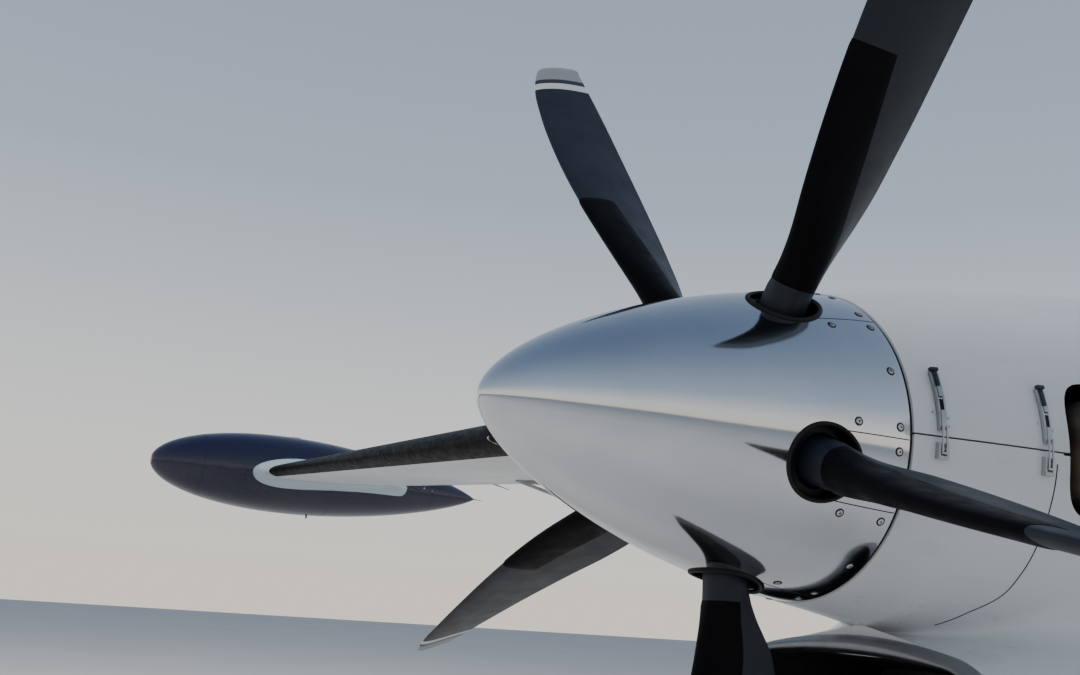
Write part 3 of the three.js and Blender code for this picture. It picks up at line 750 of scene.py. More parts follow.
def hole_rim(k):
    """The rubber lip round one blade's hole, lying on the spinner's skin."""
    turn, origin = blade_frame(k)
    path = []
    for t in angles(64):
        local = np.array([RIM * math.cos(t), RIM * math.sin(t), 0.0])
        skin = float(spinner_radius(BLADE_PLANE + local[1]))
        reach = math.sqrt(max(skin ** 2 - local[0] ** 2, 0)) + RIM_LIFT
        path.append(tuple(origin + turn @ local + turn @ np.array([0, 0, reach])))
    tube("blade_hole_rim_%d" % (k + 1), path, [RIM_THICK] * len(path), RUBBER, "propeller", 12, True)


# Screws of the spinner for each blade: y in metres, and the angle from the middle of its hole
SPINNER_SCREWS = [
  (-0.088, -16.2),
  (-0.088, 16.2),
  (-0.020, -16.2),
  (-0.020, 16.2),
  (-0.020, -8.0),
  (-0.020, 8.0),
  (-0.023, 36.0),
]
FILLER_SEAM = 12.4
FILLER_FRONT = -0.110
# Rubber in the gap behind the spinner: radius and y in metres
GAP_SEAL = [(0.2405, -0.0016), (0.2405, 0.0026), (0.228, 0.0026), (0.228, -0.0016)]


def make_spinner_details():
    screws = [on_spinner(y, blade_angle(k) + angle) for k in range(BLADES) for y, angle in SPINNER_SCREWS]
    # A thin near-black disc under each screw head: painted shade round the head.
    heads("spinner_screw_shade_rings", screws, 0.0066, 0.0004, SEAM, "propeller", 20)
    heads("spinner_screws", screws, 0.0046, 0.0017, FASTENER, "propeller", 16, True)
    for k in range(BLADES):
        for name, turn in (("a", -FILLER_SEAM), ("b", FILLER_SEAM)):
            ys = np.linspace(FILLER_FRONT, -SPINNER_SEAM - 0.001, 12)
            spots = [on_spinner(y, blade_angle(k) + turn) for y in ys]
            strip("filler_seam_%d%s" % (k + 1, name), spots, 0.0015, 0.00012, SEAM, "propeller")
    revolved("spinner_gap_seal", GAP_SEAL, 160, RUBBER, "root")


# Blade sections: radius, chord, thickness, leading edge ahead of the pitch axis, twist
BLADE_ROWS = [
  [172, 68, 68, 34, 20],
  [236, 68, 68, 34, 20],
  [270, 84, 56, 36, 20],
  [320, 118, 42, 44, 19],
  [380, 142, 33, 56, 16],
  [480, 160, 27, 69, 12],
  [620, 164, 22, 75, 5.5],
  [780, 157, 17, 70, -1],
  [930, 144, 13.5, 57, -6],
  [1060, 122, 10.5, 36, -9.5],
  [1120, 102, 9, 17, -11],
  [1142, 92, 8, 7, -11.5],
  [1150, 78, 6, -1, -11.5],
]
FEATHER = 84.0
SHANK = 236
# Sections thinner than FOIL_ONLY of their chord have no round part. The other two shape the foil.
FOIL_ONLY, FOIL_SHAPE, BLADE_CAMBER = 0.25, 2.6, 0.25
TIP_RADII = [1126, 1131, 1136, 1140, 1143.5, 1146.5, 1148.5, 1150]


def blade_section(radius, along, face):
    """A point of a blade standing along +Z: along is 0 to 1 of the chord, face is +1 or -1."""
    if radius <= SHANK:
        chord, thick, ahead, twist = 68.0, 68.0, 34.0, 20.0
    else:
        chord, thick, ahead, twist = smooth_row(BLADE_ROWS, radius)
    around = min(1.0, max(0.0, (thick / chord - FOIL_ONLY) / (1 - FOIL_ONLY)))
    pitch = math.radians(FEATHER + twist - 90)
    foil = FOIL_SHAPE * math.sqrt(along) * (1 - along) * 0.5 * face
    circle = math.sqrt(max(0.0, along - along * along)) * face
    camber = BLADE_CAMBER * thick * math.sin(math.pi * along) * (1 - around)
    x = thick * (around * circle + (1 - around) * foil) + camber
    y = along * chord - ahead
    c, d = math.cos(pitch), math.sin(pitch)
    return np.array([x * c - y * d, x * d + y * c, radius]) * MM


def blade_ring(radius):
    sides = 22
    around = [math.pi * i / sides for i in range(2 * sides)]
    return np.array([blade_section(radius, (1 - math.cos(a)) / 2, 1 if i <= sides else -1)
                     for i, a in enumerate(around)])


def make_blade(k):
    turn, origin = blade_frame(k)
    radii = list(np.linspace(SHANK - 64, 1120, 72)) + TIP_RADII
    rings = [blade_ring(r) @ turn.T + origin for r in radii]
    node = "blade_%d" % (k + 1)
    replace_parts(lofted(node + "_skin", rings, BLADE_PAINT, node, 60), node)


# De-icing boot of a blade: inner and outer radius, steps along its section, its reach as a fraction of
# the chord at the inner end, and how much less that is at the outer end
BOOT_INNER, BOOT_OUTER, BOOT_WALK, BOOT_BACK, BOOT_LESS = 250, 596, 13, 0.62, 0.20
# Its thickness, how far it lies off the skin and how far its underside lies in it, in metres
BOOT_THICK, BOOT_LIFT, BOOT_SINK = 0.0016, 0.0002, 0.0004


def make_boot(k):
    """The rubber boot that wraps the inner leading edge, a thin sheet over the blade's skin."""
    turn, origin = blade_frame(k)
    rings = []
    for r in np.linspace(BOOT_INNER, BOOT_OUTER, 40):
        back = BOOT_BACK - BOOT_LESS * ((r - BOOT_INNER) / (BOOT_OUTER - BOOT_INNER))
        walk = [(back * (1 - s / BOOT_WALK) ** 2, 1) for s in range(BOOT_WALK + 1)]
        walk += [(back * (s / BOOT_WALK) ** 2, -1) for s in range(1, BOOT_WALK + 1)]
        line = np.array([blade_section(r, a, f) for a, f in walk])
        out = np.cross(np.gradient(line, axis=0), np.array([0, 0, 1.0]))
        out /= np.linalg.norm(out, axis=1, keepdims=True)
        middle = np.array([blade_section(r, 0.3, 1), blade_section(r, 0.3, -1)]).mean(0)
        if ((line - middle) * out).sum() < 0:
            out = -out
        thin = min(1.0, (r - BOOT_INNER + 1) / 6, (BOOT_OUTER + 1 - r) / 6)
        edge = np.ones(len(line))
        edge[0] = edge[-1] = 0.15
        top = line + out * (BOOT_LIFT + BOOT_THICK * thin * edge)[:, None]
        low = line - out * BOOT_SINK
        rings.append(np.vstack([top, low[::-1]]) @ turn.T + origin)
    lofted("blade_%d_boot" % (k + 1), rings, BOOT, "blade_%d" % (k + 1), 50)


# Cowling: half width of the keel, gap beside the doors and height of their lower edge, in metres
KEEL_HALF, DOOR_GAP, SPLIT = 0.017, 0.005, -0.004
# Intake body: y, half width, top, bottom, corner radius, and how far its top falls at the corners
SCOOP = [
  [150, 266, -284, -450, 80, 40],
  [230, 272, -268, -462, 82, 42],
  [320, 278, -246, -468, 86, 42],
  [420, 283, -226, -470, 90, 36],
  [560, 285, -196, -466, 96, 20],
  [760, 280, -160, -440, 110, 0],
]
# Intake duct: y, half width, top, bottom, corner radius
DUCT = [
  [110, 236, -314, -422, 50],
  [200, 240, -316, -432, 52],
  [400, 200, -340, -436, 40],
]
# Exhaust stub: distance from the thrust line, y, half height, half length
STUB = [
  [150, 336, 78, 62],
  [290, 349, 80, 66],
  [378, 374, 74, 62],
]
STUB_CLEAR = 24
STUB_REACH = 60


def rounded_ring(y, half, top, bottom, r, steps=9, crown=0.0):
    """A rounded rectangle across the thrust line, whose top can fall away towards its corners."""
    ring = [(0.0, top)]
    for cx, cz, start in ((-half + r, top - r, 90), (-half + r, bottom + r, 180),
                          (half - r, bottom + r, 270), (half - r, top - r, 0)):
        for i in range(steps + 1):
            a = math.radians(start + 90 * i / steps)
            ring.append((cx + r * math.cos(a), cz + r * math.sin(a)))
    points = []
    for i, (x0, z0) in enumerate(ring):
        x1, z1 = ring[(i + 1) % len(ring)]
        cuts = 6 if abs(x1 - x0) > 40 else 1
        for j in range(cuts):
            points.append((x0 + (x1 - x0) * j / cuts, y, z0 + (z1 - z0) * j / cuts))
    points = np.array(points)
    middle = (top + bottom) / 2
    share = np.clip((points[:, 2] - middle) / (top - middle), 0, 1)
    points[:, 2] -= crown * share * (points[:, 0] / half) ** 2
    return points * MM + THRUST


def squared(t):
    return math.copysign(abs(t) ** 0.55, t)


def stub_room(side):
    """The room kept free round an exhaust stub, to cut the cowling with."""
    rings = []
    for i, (x0, y0, tall, half) in enumerate(STUB):
        x = x0 + (-STUB_REACH, 0, STUB_REACH)[i]
        ring = []
        for a in angles(72):
            dy = (half + STUB_CLEAR) * squared(math.cos(a))
            ring.append((side * (x + dy * 0.12), y0 + dy, 8 + (tall + STUB_CLEAR) * squared(math.sin(a))))
        rings.append(np.array(ring) * MM + THRUST)
    return lofted("stub_room", rings, STEEL, None)


def nacelle_solid(name, y0, y1, out=0.0):
    rings = [nacelle(y, np.array(angles(144)), out) for y in np.linspace(y0, y1, 40)]
    return lofted(name, rings, PAINT, None)


def cowl_room():
    return nacelle_solid("inside", -0.01, COWL_REAR + 0.01, -WALL)


def zone(low, high):
    """A box about the thrust line, to cut with."""
    (x0, y0, z0), (x1, y1, z1) = THRUST + low, THRUST + high
    rings = [[(x, y0, z0), (x, y1, z0), (x, y1, z1), (x, y0, z1)] for x in (x0, x1)]
    return lofted("zone", rings, SEAM, None)


def cowl_panel(node, body, rear, rooms, low, high):
    """A thin panel of the round cowl, cut free of rooms and kept between the corners low and high."""
    shell = nacelle_solid(node + "_skin", COWL_FRONT, rear)
    boolean(shell, [cowl_room()] + rooms)
    boolean(shell, [zone(low, high)], "INTERSECT")
    tidied(shell)
    true_normals(shell, nacelle_exact, 0.002)
    stand_in(shell, node, body)


def make_upper_cowl():
    for side, word in SIDES:
        low_x, high_x = (KEEL_HALF + DOOR_GAP, 0.5) if side > 0 else (-0.5, -KEEL_HALF - DOOR_GAP)
        door = "cowl_door_" + word
        cowl_panel(door, door, COWL_REAR - DOOR_GAP, [stub_room(side)],
                   (low_x, -0.1, SPLIT + DOOR_GAP / 2), (high_x, 0.9, 0.6))
    cowl_panel("cowl_keel", "root", COWL_REAR, [], (-KEEL_HALF, -0.1, 0.0), (KEEL_HALF, 0.9, 0.6))


def to_outline(ring, degrees, nearest=False):
    """The outermost or innermost point of an outline along a direction from the thrust line."""
    a = math.radians(degrees)
    dx, dz = math.sin(a), math.cos(a)
    x0, z0 = ring.T
    ex, ez = (np.roll(ring, -1, axis=0) - ring).T
    cross = dx * ez - dz * ex
    cross = np.where(np.abs(cross) < 1e-9, 1e-9, cross)
    t = (x0 * ez - z0 * ex) / cross
    u = (x0 * dz - z0 * dx) / cross
    hits = t[(t > 0) & (u >= 0) & (u <= 1)]
    far = hits.min() if nearest else hits.max()
    return np.array([dx * far, dz * far])


# Fillet between the round cowl and the intake: y, and its reach along both outlines
FILLET = [
  [150, 14],
  [165, 30],
  [200, 50],
  [260, 66],
  [330, 76],
  [500, 84],
  [760, 66],
]
SIDE_POINTS = 60
FILLET_POINTS = 22
# Pull of the fillet's handles, their greatest reach, and the least x of its points
FILLET_PULL, FILLET_LIMIT, FILLET_X = 0.667, 1.15, 0.5
BOX_POINTS = 76
SIDE_START = math.radians(97)


def along_line(places, at, line):
    """Points of an outline (n, 2) at distances along it."""
    return np.stack([np.interp(places, at, line[:, 0]), np.interp(places, at, line[:, 1])], -1)


def half_box(y):
    """The right half of the intake body's section, from the middle of its top to that of its bottom."""
    half, top, bottom, r, crown = map(float, smooth_row(SCOOP, y))
    ring = (rounded_ring(0, half, top, bottom, r, 20, crown) - THRUST) / MM
    right = ring[np.r_[0, len(ring) - 1:0:-1]]
    line = right[right[:, 0] > -1e-6][:, [0, 2]]
    far = np.concatenate([[0], np.cumsum(np.linalg.norm(np.diff(line, axis=0), axis=1))])
    at = np.linspace(0, far[-1], 500)
    return along_line(at, far, line), at


def round_cowl(y, around):
    """Points of the round cowl's section, at angles from its bottom towards the right."""
    p = (nacelle(y * MM, math.pi - np.asarray(around)) - THRUST) / MM
    return p[..., [0, 2]]


def scoop_half(y):
    """Where the fillet leaves the round cowl, and the outline from there to the bottom's middle."""
    width, _, bottom, _ = map(float, smooth_row(NACELLE, y))
    deep = -bottom
    line, at = half_box(y)
    first = int(np.argmax((line[:, 0] / width) ** 2 + (line[:, 1] / deep) ** 2 > 1))
    reach = float(smooth_table(FILLET, y, 1))
    meet = math.atan2(line[first][0] / width, -line[first][1] / deep)
    around = meet + reach / math.hypot(width * math.cos(meet), deep * math.sin(meet))
    upper = round_cowl(y, around)
    inward = -np.array([width * math.cos(around), deep * math.sin(around)])
    inward /= np.linalg.norm(inward)
    low = int(np.searchsorted(at, at[first] + reach))
    lower = line[low]
    back = line[low - 2] - line[low + 2]
    back /= np.linalg.norm(back)
    u, v = np.linalg.solve(np.array([inward, -back]).T, lower - upper)
    most = FILLET_LIMIT * reach
    u, v = (min(w, most) if w > 0 else most for w in (u, v))
    t = np.linspace(0, 1, FILLET_POINTS)[:, None]
    pulls = (upper, upper + inward * u * FILLET_PULL, lower + back * v * FILLET_PULL, lower)
    curve = sum(p * k * (1 - t) ** (3 - i) * t ** i for i, (p, k) in enumerate(zip(pulls, (1, 3, 3, 1))))
    curve[:, 0] = np.maximum(curve[:, 0], FILLET_X)
    rest = np.linspace(at[low], at[-1], BOX_POINTS)[1:]
    return around, np.vstack([curve, along_line(rest, at, line)])


def belly_outline(y):
    """The lower cowl's whole outline across the thrust line, in millimetres."""
    around, low = scoop_half(max(y, SCOOP[0][0]))
    if y < SCOOP[0][0]:
        low = round_cowl(y, np.linspace(around, 0, len(low)))
    side = round_cowl(y, np.linspace(SIDE_START, around, SIDE_POINTS))[:-1]
    right = np.vstack([side, low])
    left = right[:-1][::-1] * (-1, 1)
    return np.vstack([right, left])


def on_belly(y, degrees, nearest=False):
    """A point of the lower cowl's skin and its normal, at an angle from the top about the thrust line."""
    here, ahead = belly_outline(y), belly_outline(y + 1)
    x, z = to_outline(here, degrees, nearest)
    across = to_outline(here, degrees + 0.3, nearest) - to_outline(here, degrees - 0.3, nearest)
    along = to_outline(ahead, degrees, nearest) - (x, z)
    n = np.cross((across[0], 0, across[1]), (along[0], 1, along[1]))
    n *= math.copysign(1.0, n[0] * x + n[2] * z) / np.linalg.norm(n)
    return np.array([x, y, z]) * MM + THRUST, n


def paint_duct_shade(mesh):
    """Gives the faces inside the intake duct a near-black finish, which is painted shade of the deep duct.
    """
    mesh.materials.clear()
    mesh.materials.append(PAINT)
    mesh.materials.append(DUCT_PAINTED_SHADE)
    within = []
    for v in mesh.vertices:
        x, y, z = (np.array(v.co) - THRUST) / MM
        half, top, bottom, _ = straight_row(DUCT, y)
        inside = abs(x) < half + 1 and bottom - 1 < z < top + 1
        within.append(inside and SCOOP[0][0] - 1 < y < DUCT[-1][0] + 2)
    middle = np.array([0, 0, (DUCT[0][2] + DUCT[0][3]) / 2])
    for face in mesh.polygons:
        away = (np.array(face.center) - THRUST) / MM - middle
        faces_in = away[0] * face.normal[0] + away[2] * face.normal[2] < 0
        face.material_index = int(faces_in and all(within[i] for i in face.vertices))


def make_lower_cowl():
    ys = np.concatenate([np.linspace(3, 149.9, 18), np.arange(150, 260, 4), np.arange(260, 340, 8),
                         np.arange(340, 750, 16), [759.95]])
    rings = [np.insert(belly_outline(y), 1, y, axis=1) * MM + THRUST for y in ys]
    belly = lofted("cowl_lower_skin", rings, PAINT, None)
    duct = [rounded_ring(y, *straight_row(DUCT, y)) for y in range(110, 401, 15)]
    boolean(belly, [cowl_room(), lofted("duct", duct, PAINT, None), stub_room(1), stub_room(-1)])
    boolean(belly, [zone((-0.5, -0.1, -0.7), (0.5, 0.9, SPLIT - DOOR_GAP / 2))], "INTERSECT")
    tidied(belly, 34, 5e-5)
    # The duct's inner faces take the near-black painted shade.
    paint_duct_shade(belly.data)
    stand_in(belly, "cowl_lower")


# Lip of the intake: steps, y of its rear edge, how far it reaches forward, crown at its inner edge
LIP_STEPS, LIP_Y, LIP_REACH, LIP_CROWN = 18, 149.6, 31.5, 0.45


def make_lip():
    """The rolled metal lip round the chin intake."""
    (_, *outer, crown), (_, *inner) = SCOOP[0], DUCT[0]
    rings = []
    for i in range(LIP_STEPS + 1):
        t = math.pi * i / LIP_STEPS
        s, y = (1 + math.cos(t)) / 2, LIP_Y - LIP_REACH * math.sin(t)
        values = [b + (a - b) * s for a, b in zip(outer, inner)]
        rings.append(rounded_ring(y, *values, steps=16, crown=crown * (LIP_CROWN + (1 - LIP_CROWN) * s)))
    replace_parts(lofted("intake_lip_skin", rings, LIP_METAL_PAINTED_SHADE, "root", 40, True), "intake_lip")


# The front panel's curved rear edge on the lower cowl: degrees from the top, y
CHIN_SEAM = [
  [94, 240],
  [108, 237],
  [128, 236],
  [137, 232],
  [141.5, 223],
  [146, 213],
  [150.5, 207],
  [158, 198],
]


def make_chin_seam():
    for side, word in SIDES:
        spots = [on_belly(float(smooth_table(CHIN_SEAM, d, 1)), side * d, True)
                 for d in np.linspace(CHIN_SEAM[0][0], CHIN_SEAM[-1][0], 60)]
        strip("chin_seam_" + word, spots, 0.0018, 0.0004, SEAM, "root", 0.0010)


def wing_cutter(x1=TIP_X):
    """The wing with a small gap round it, to cut what meets it."""
    f = (1 - np.cos(np.linspace(0, math.pi, 61))) / 2
    rings = []
    for x in (RIB_BACK, x1):
        over = wing_point(x, f, True)
        under = wing_point(x, f[::-1][1:-1], False)
        over[:, 2] += GAP
        under[:, 2] -= GAP
        rings.append(np.vstack([over, under]))
    return lofted("wing_cut", rings, WING_PAINT, None)


# Room behind the engine: half width, half height, height of its middle and stations, in metres
ROOM_WIDE, ROOM_TALL, ROOM_Z = 0.19, 0.191, -0.02
ROOM_YS = (0.755, 1.1, 1.46)


def make_nacelle_rear():
    ys = np.concatenate([np.linspace(COWL_REAR + GAP, 2.05, 52), np.linspace(2.06, NACELLE_REAR, 5)])
    rings = [nacelle(y, np.array(angles(144))) for y in ys]
    body = lofted("nacelle_fairing_skin", rings, PAINT, None)
    room = [[THRUST + (ROOM_WIDE * math.sin(a), y, ROOM_Z + ROOM_TALL * math.cos(a)) for a in angles(96)]
            for y in ROOM_YS]
    boolean(body, [wing_cutter(), lofted("room", room, PAINT, None)])
    tidied(body)
    true_normals(body, nacelle_exact, 0.003)
    stand_in(body, "nacelle_fairing")


# Painted lands that narrow the split beside the doors: start and end, and their section, in metres
LANDS = (("front", 0.004, 0.252), ("rear", 0.457, 0.754))
LAND_SECTION = ((-0.008, -0.0080), (-0.0006, -0.0080), (-0.0006, -0.0040), (-0.008, -0.0040))


def make_lands():
    for side, word in SIDES:
        for name, start, end in LANDS:
            rings = []
            for y in np.linspace(start, end, 20):
                x = nacelle(y, math.pi / 2)[0] - THRUST[0]
                rings.append([THRUST + (side * (x + dx), y, z) for dx, z in LAND_SECTION])
            lofted("split_land_%s_%s" % (word, name), rings, PAINT, "root")


# Rivets of the cowling: rows along it every RIVET_PITCH metres, but not where the stubs come out.
# KEEL_ROW is an angle in radians from the top, the other two rows' angles are in degrees.
RIVET_PITCH = 0.034
KEEL_ROW = (KEEL_HALF + 0.016) / 0.3
DOOR_ROW, LOWER_ROW = 87.2, 93.6
# Rows round the cowling: y in metres of those on the doors, the joint and the rear, and the stub's reach
DOOR_ENDS, JOINT_ROWS, REAR_ROWS = (0.016, 0.742), (0.775, 0.795), (1.25, 1.62)
STUB_FRONT, STUB_REAR = 0.25, 0.47


def beside_stub(y):
    return STUB_FRONT < y < STUB_REAR


def make_cowl_rivets():
    ys = np.arange(0.03, 0.75, RIVET_PITCH)
    size = (0.0024, 0.00025)
    for side, word in SIDES:
        rivets = []
        for y in ys:
            rivets.append(nacelle_spot(y, side * KEEL_ROW))
            if not beside_stub(y):
                rivets.append(nacelle_spot(y, side * math.radians(DOOR_ROW)))
        for degrees in range(10, 86, 5):
            rivets += [nacelle_spot(y, side * math.radians(degrees)) for y in DOOR_ENDS]
        heads("door_rivets_" + word, rivets, *size, PAINT, "cowl_door_" + word)
    rivets = []
    for side in (1, -1):
        rivets += [nacelle_spot(y, side * math.radians(LOWER_ROW)) for y in ys if not beside_stub(y)]
        for degrees in range(98, 178, 4):
            rivets += [on_belly(y / MM, side * degrees) for y in DOOR_ENDS]
        for y in JOINT_ROWS:
            rivets += [nacelle_spot(y, side * math.radians(degrees)) for degrees in range(6, 176, 4)]
        for degrees in range(100, 172, 4):
            rivets += [nacelle_spot(y, side * math.radians(degrees)) for y in REAR_ROWS]
    heads("nacelle_rivets", rivets, *size, PAINT, "root")


# Latches: y, and the upper end in degrees from the top. All end near LATCH_END.
LATCHES = [
  (45, 69),
  (220, 72.5),
]
LATCH_END = 88.6
# Screws beside each latch: degrees from the top, and distance behind it
LATCH_SCREWS = [(84.6, 13), (87.2, 13), (83.0, -12)]


def on_cowl(side, y, degrees, out):
    p, n = nacelle_spot(y * MM, side * math.radians(degrees))
    return p + n * (out * MM)


def bar(side, y, start, end, half, low, high, material=ALLOY, steps=12, taper=1.0):
    """A bar round the cowl from one angle to another, of a half width, from low to high above the skin."""
    rings = []
    for i in range(steps + 1):
        t = i / steps
        h = half * (1 + (taper - 1) * t)
        corners = ((-h, low), (h, low), (h, high), (-h, high))
        rings.append([on_cowl(side, y + dy, start + (end - start) * t, o) for dy, o in corners])
    return lofted("bar", rings, material, None, 30)


def joined(name, parts):
    """Joins pieces into the first one and gives it a name."""
    work = bmesh.new()
    for part in parts:
        work.from_mesh(part.data)
    mesh = parts[0].data
    work.to_mesh(mesh)
    work.free()
    for part in parts[1:]:
        bpy.data.objects.remove(part)
    parts[0].name = name
    shade(mesh, 40)
    return parts[0]


def make_latch(side, word, i, y, top):
    body, label = "cowl_door_" + word, "%s_%d" % (word, i)
    mid = (top + 88) / 2
    made = [bar(side, y + dy, top, LATCH_END, 1.3, 0.6, 7.0) for dy in (-4.6, 4.6)]
    made += [bar(side, y, top, LATCH_END, 5.9, 0.4, 1.5),
             bar(side, y, top + 4, mid - 0.5, 3.2, 4.4, 8.0, taper=0.8),
             bar(side, y, mid + 4.0, 88.9, 3.2, 3.2, 8.4)]
    made += [bar(side, y + dy, 87.6, 96.3, 1.1, 8.8, 10.6) for dy in (-3.2, 3.2)]
    made.append(bar(side, y, 95.7, 96.3, 3.4, 8.8, 10.6, steps=3))
    for d in (top + 4.5, mid, mid + 5):
        ends = [on_cowl(side, y + dy, d, 4.6) for dy in (-6.6, 6.6)]
        made.append(rod_piece("pin", *ends, 0.0021, 14, ALLOY))
    stand_in(joined("latch_%s_body" % label, made), "latch_" + label, body)
    hook = [bar(side, y - 3.0, top - 0.4, top + 0.6, 6.4, 7.2, 13.0, DARK),
            bar(side, y - 1.0, top, top + 5.5, 2.4, 7.4, 10.0, DARK),
            bar(side, y, mid + 0.6, mid + 3.4, 3.0, 1.6, 2.4, DARK)]
    carried(joined("latch_%s_hook" % label, hook), body)
    spots = [nacelle_spot((y + dy) * MM, side * math.radians(d)) for d, dy in LATCH_SCREWS]
    heads("latch_%s_screws" % label, spots, 0.0020, 0.0007, FASTENER, body, 12, True)
    keeper = [bar(side, y - 6.4, 92.8, 97.6, 1.5, 0.5, 8.4),
              bar(side, y + 6.4, 92.8, 97.6, 1.5, 0.5, 8.4),
              bar(side, y, 92.6, 98.0, 8.0, 0.4, 1.6),
              bar(side, y, 94.2, 95.2, 4.6, 1.5, 8.0, steps=3),
              bar(side, y, 96.9, 98.0, 7.8, 1.5, 9.8)]
    stand_in(joined("keeper_%s_body" % label, keeper), "keeper_" + label)


# CAD nodes that keep their shape: name, material, angle of their sharp edges, bevel in metres
INSIDE = [
  # The nose ring takes the dark casting finish so that the gap behind the spinner shows black: painted shade
  # in the gap.
  ("nose_ring", DARK, 35, 0.001),
  ("firewall", STEEL, 35, 0.0),
  ("engine_mount", STEEL, 35, 0.0),
  ("exhaust_stub_inboard", STEEL, 35, 0.0),
  ("exhaust_stub_outboard", STEEL, 35, 0.0),
  ("engine_block", DARK, 35, 0.002),
  ("propeller_hub", ALLOY, 35, 0.0015),
  ("spinner_backplate", ALLOY, 35, 0.0005),
]
INSIDE += [("blade_seal_%d" % (k + 1), RUBBER, 35, 0.0006) for k in range(BLADES)]
WING_NODES = [
  ("flap_inner", WING_PAINT, 24),
  ("flap_outer", WING_PAINT, 24),
  ("aileron", WING_PAINT, 24),
  ("aileron_tab", PALE, 24),
  ("flap_inner_bracket_1", ALLOY, 30, 0.0012),
  ("flap_inner_bracket_2", ALLOY, 30, 0.0012),
  ("flap_outer_bracket_1", ALLOY, 30, 0.0012),
  ("flap_outer_bracket_2", ALLOY, 30, 0.0012),
  ("root_rib", ALLOY, 8),
]


def make_wing():
    dressed("wing_main", WING_PAINT, 28)
    true_normals(bpy.data.objects["wing_main_skin"], wing_exact, 0.0015, 0.9)
    for row in WING_NODES:
        dressed(*row)


# Rivets of the wing: fractions of the chord of the long rows, and the pitches along X and Y in metres
LONG_ROWS = (0.115, 0.29, 0.315, 0.50, 0.66)
LONG_PITCH, RIB_PITCH, CROSS_PITCH = 0.075, 0.42, 0.026


def make_wing_rivets():
    def hidden(x, upper):
        return not upper and THRUST[0] - 0.36 < x < THRUST[0] + 0.36

    rivets = []
    for upper in (True, False):
        for f in LONG_ROWS:
            for x in np.arange(-0.05, -8.36, -LONG_PITCH):
                if f >= 0.55 or not hidden(x, upper):
                    rivets.append(wing_spot(x, f, upper))
        for x in np.arange(-RIB_PITCH, -8.3, -RIB_PITCH):
            if not hidden(x, upper):
                fs = np.arange(0.13, 0.66, CROSS_PITCH * ROOT_CHORD / (ROOT_CHORD + TAPER * x))
                rivets += [wing_spot(x, f, upper) for f in fs]
    heads("wing_rivets", rivets, 0.0030, 0.0003, WING_PAINT, "root", 8)


# Ice boots on the leading edge, in metres: x of both ends, and how far each end bulges outboard at the nose
WING_BOOTS = [
  (-2.05, -4.19, 0.0, 0.11),
  (-4.20, -8.33, 0.116, 0.0),
]
# Fractions of the chord that the boots reach above and below, and over which their ends bulge
BOOT_REACH = (0.085, 0.06)
BULGE_REACH = 0.022
BOOT_STEPS = 14
WING_BOOT_THICK, WING_BOOT_EDGE = 0.0018, 0.0004


def make_wing_boots():
    back = np.linspace(1, 0, BOOT_STEPS) ** 2
    share = np.concatenate([back, back[::-1][1:]])
    upper = np.arange(len(share)) < BOOT_STEPS
    fs = share * np.where(upper, *BOOT_REACH)
    nose = np.clip(1 - fs / BULGE_REACH, 0, 1) ** 2
    for i, (x0, x1, bulge0, bulge1) in enumerate(WING_BOOTS):
        rings = []
        for x in np.linspace(x0, x1, 40):
            t = (x - x0) / (x1 - x0)
            xs = x - nose * (bulge0 * (1 - t) + bulge1 * t)
            skin = wing_point(xs, fs, upper)
            out = wing_normal(xs, np.maximum(fs, 1e-3), upper)
            out[BOOT_STEPS - 1] = (0, -1, 0)
            thick = np.full(len(fs), WING_BOOT_EDGE if x in (x0, x1) else WING_BOOT_THICK)
            thick[0] = thick[-1] = WING_BOOT_EDGE
            rings.append(np.vstack([skin + out * thick[:, None], (skin - out * 0.0006)[::-1]]))
        lofted("wing_boot_%d" % (i + 1), rings, BOOT, "root", 40)


# Access plates: x, fraction of the chord, half length along X and along Y in metres, above or not
PLATES = [(x, 0.40, 0.17, 0.11, False) for x in (-2.30, -3.14, -3.98, -4.82, -5.66, -6.50, -7.34, -8.10)]
PLATES += [(-0.63, 0.20, 0.10, 0.13, False), (-0.63, 0.43, 0.15, 0.11, False)]
PLATES += [(-2.72, 0.205, 0.085, 0.085, True), (-5.24, 0.205, 0.085, 0.085, True)]
PLATE_THICK = 0.0009
PLATE_SIDES = 48
# Rings of a plate: share of its size, height above the skin
PLATE_RINGS = [(1, -0.0004), (1, PLATE_THICK * 0.4)]
PLATE_RINGS += [(size, PLATE_THICK) for size in (0.985, 0.6, 0.25)]


def make_access_plates():
    screws = []
    t = np.array(angles(PLATE_SIDES))
    for i, (x0, f0, half_x, half_y, upper) in enumerate(PLATES):
        deep = half_y / (ROOT_CHORD + TAPER * x0)
        rings = [wing_point(x0 + half_x * size * np.cos(t), f0 + deep * size * np.sin(t), upper, out)
                 for size, out in PLATE_RINGS]
        lofted("access_plate_%d" % (i + 1), rings, WING_PAINT, "root", 30)
        for a in t[::3]:
            x, f = x0 + half_x * 0.92 * math.cos(a), f0 + deep * 0.9 * math.sin(a)
            screws.append(wing_spot(x, f, upper, PLATE_THICK))
    heads("access_screws", screws, 0.0042, 0.0006, FASTENER, "root", 10, True)


# Beads of the root rib: fractions of the chord
BEADS = (0.11, 0.17, 0.23, 0.37, 0.44, 0.51, 0.58)
BEAD_END, RIB_ROW = 0.045, 0.016


def make_rib_details():
    """Rivets round the root rib's edge, and stiffening beads between them."""
    rivets = []
    for f in np.arange(0.03, 0.69, 0.0125):
        for upper in (True, False):
            rivets.append((wing_point(0.0, f, upper) + (0, 0, -RIB_ROW if upper else RIB_ROW), (1, 0, 0)))
    heads("rib_rivets", rivets, 0.0035, 0.0012, FASTENER, "root")
    for i, f in enumerate(BEADS):
        top, low = wing_point(0.0, f, True), wing_point(0.0, f, False)
        zs = np.linspace(low[2] + BEAD_END, top[2] - BEAD_END, 12)
        spots = [((0.0, top[1], z), (1, 0, 0)) for z in zs]
        strip("rib_bead_%d" % (i + 1), spots, 0.016, 0.0014, ALLOY, "root")


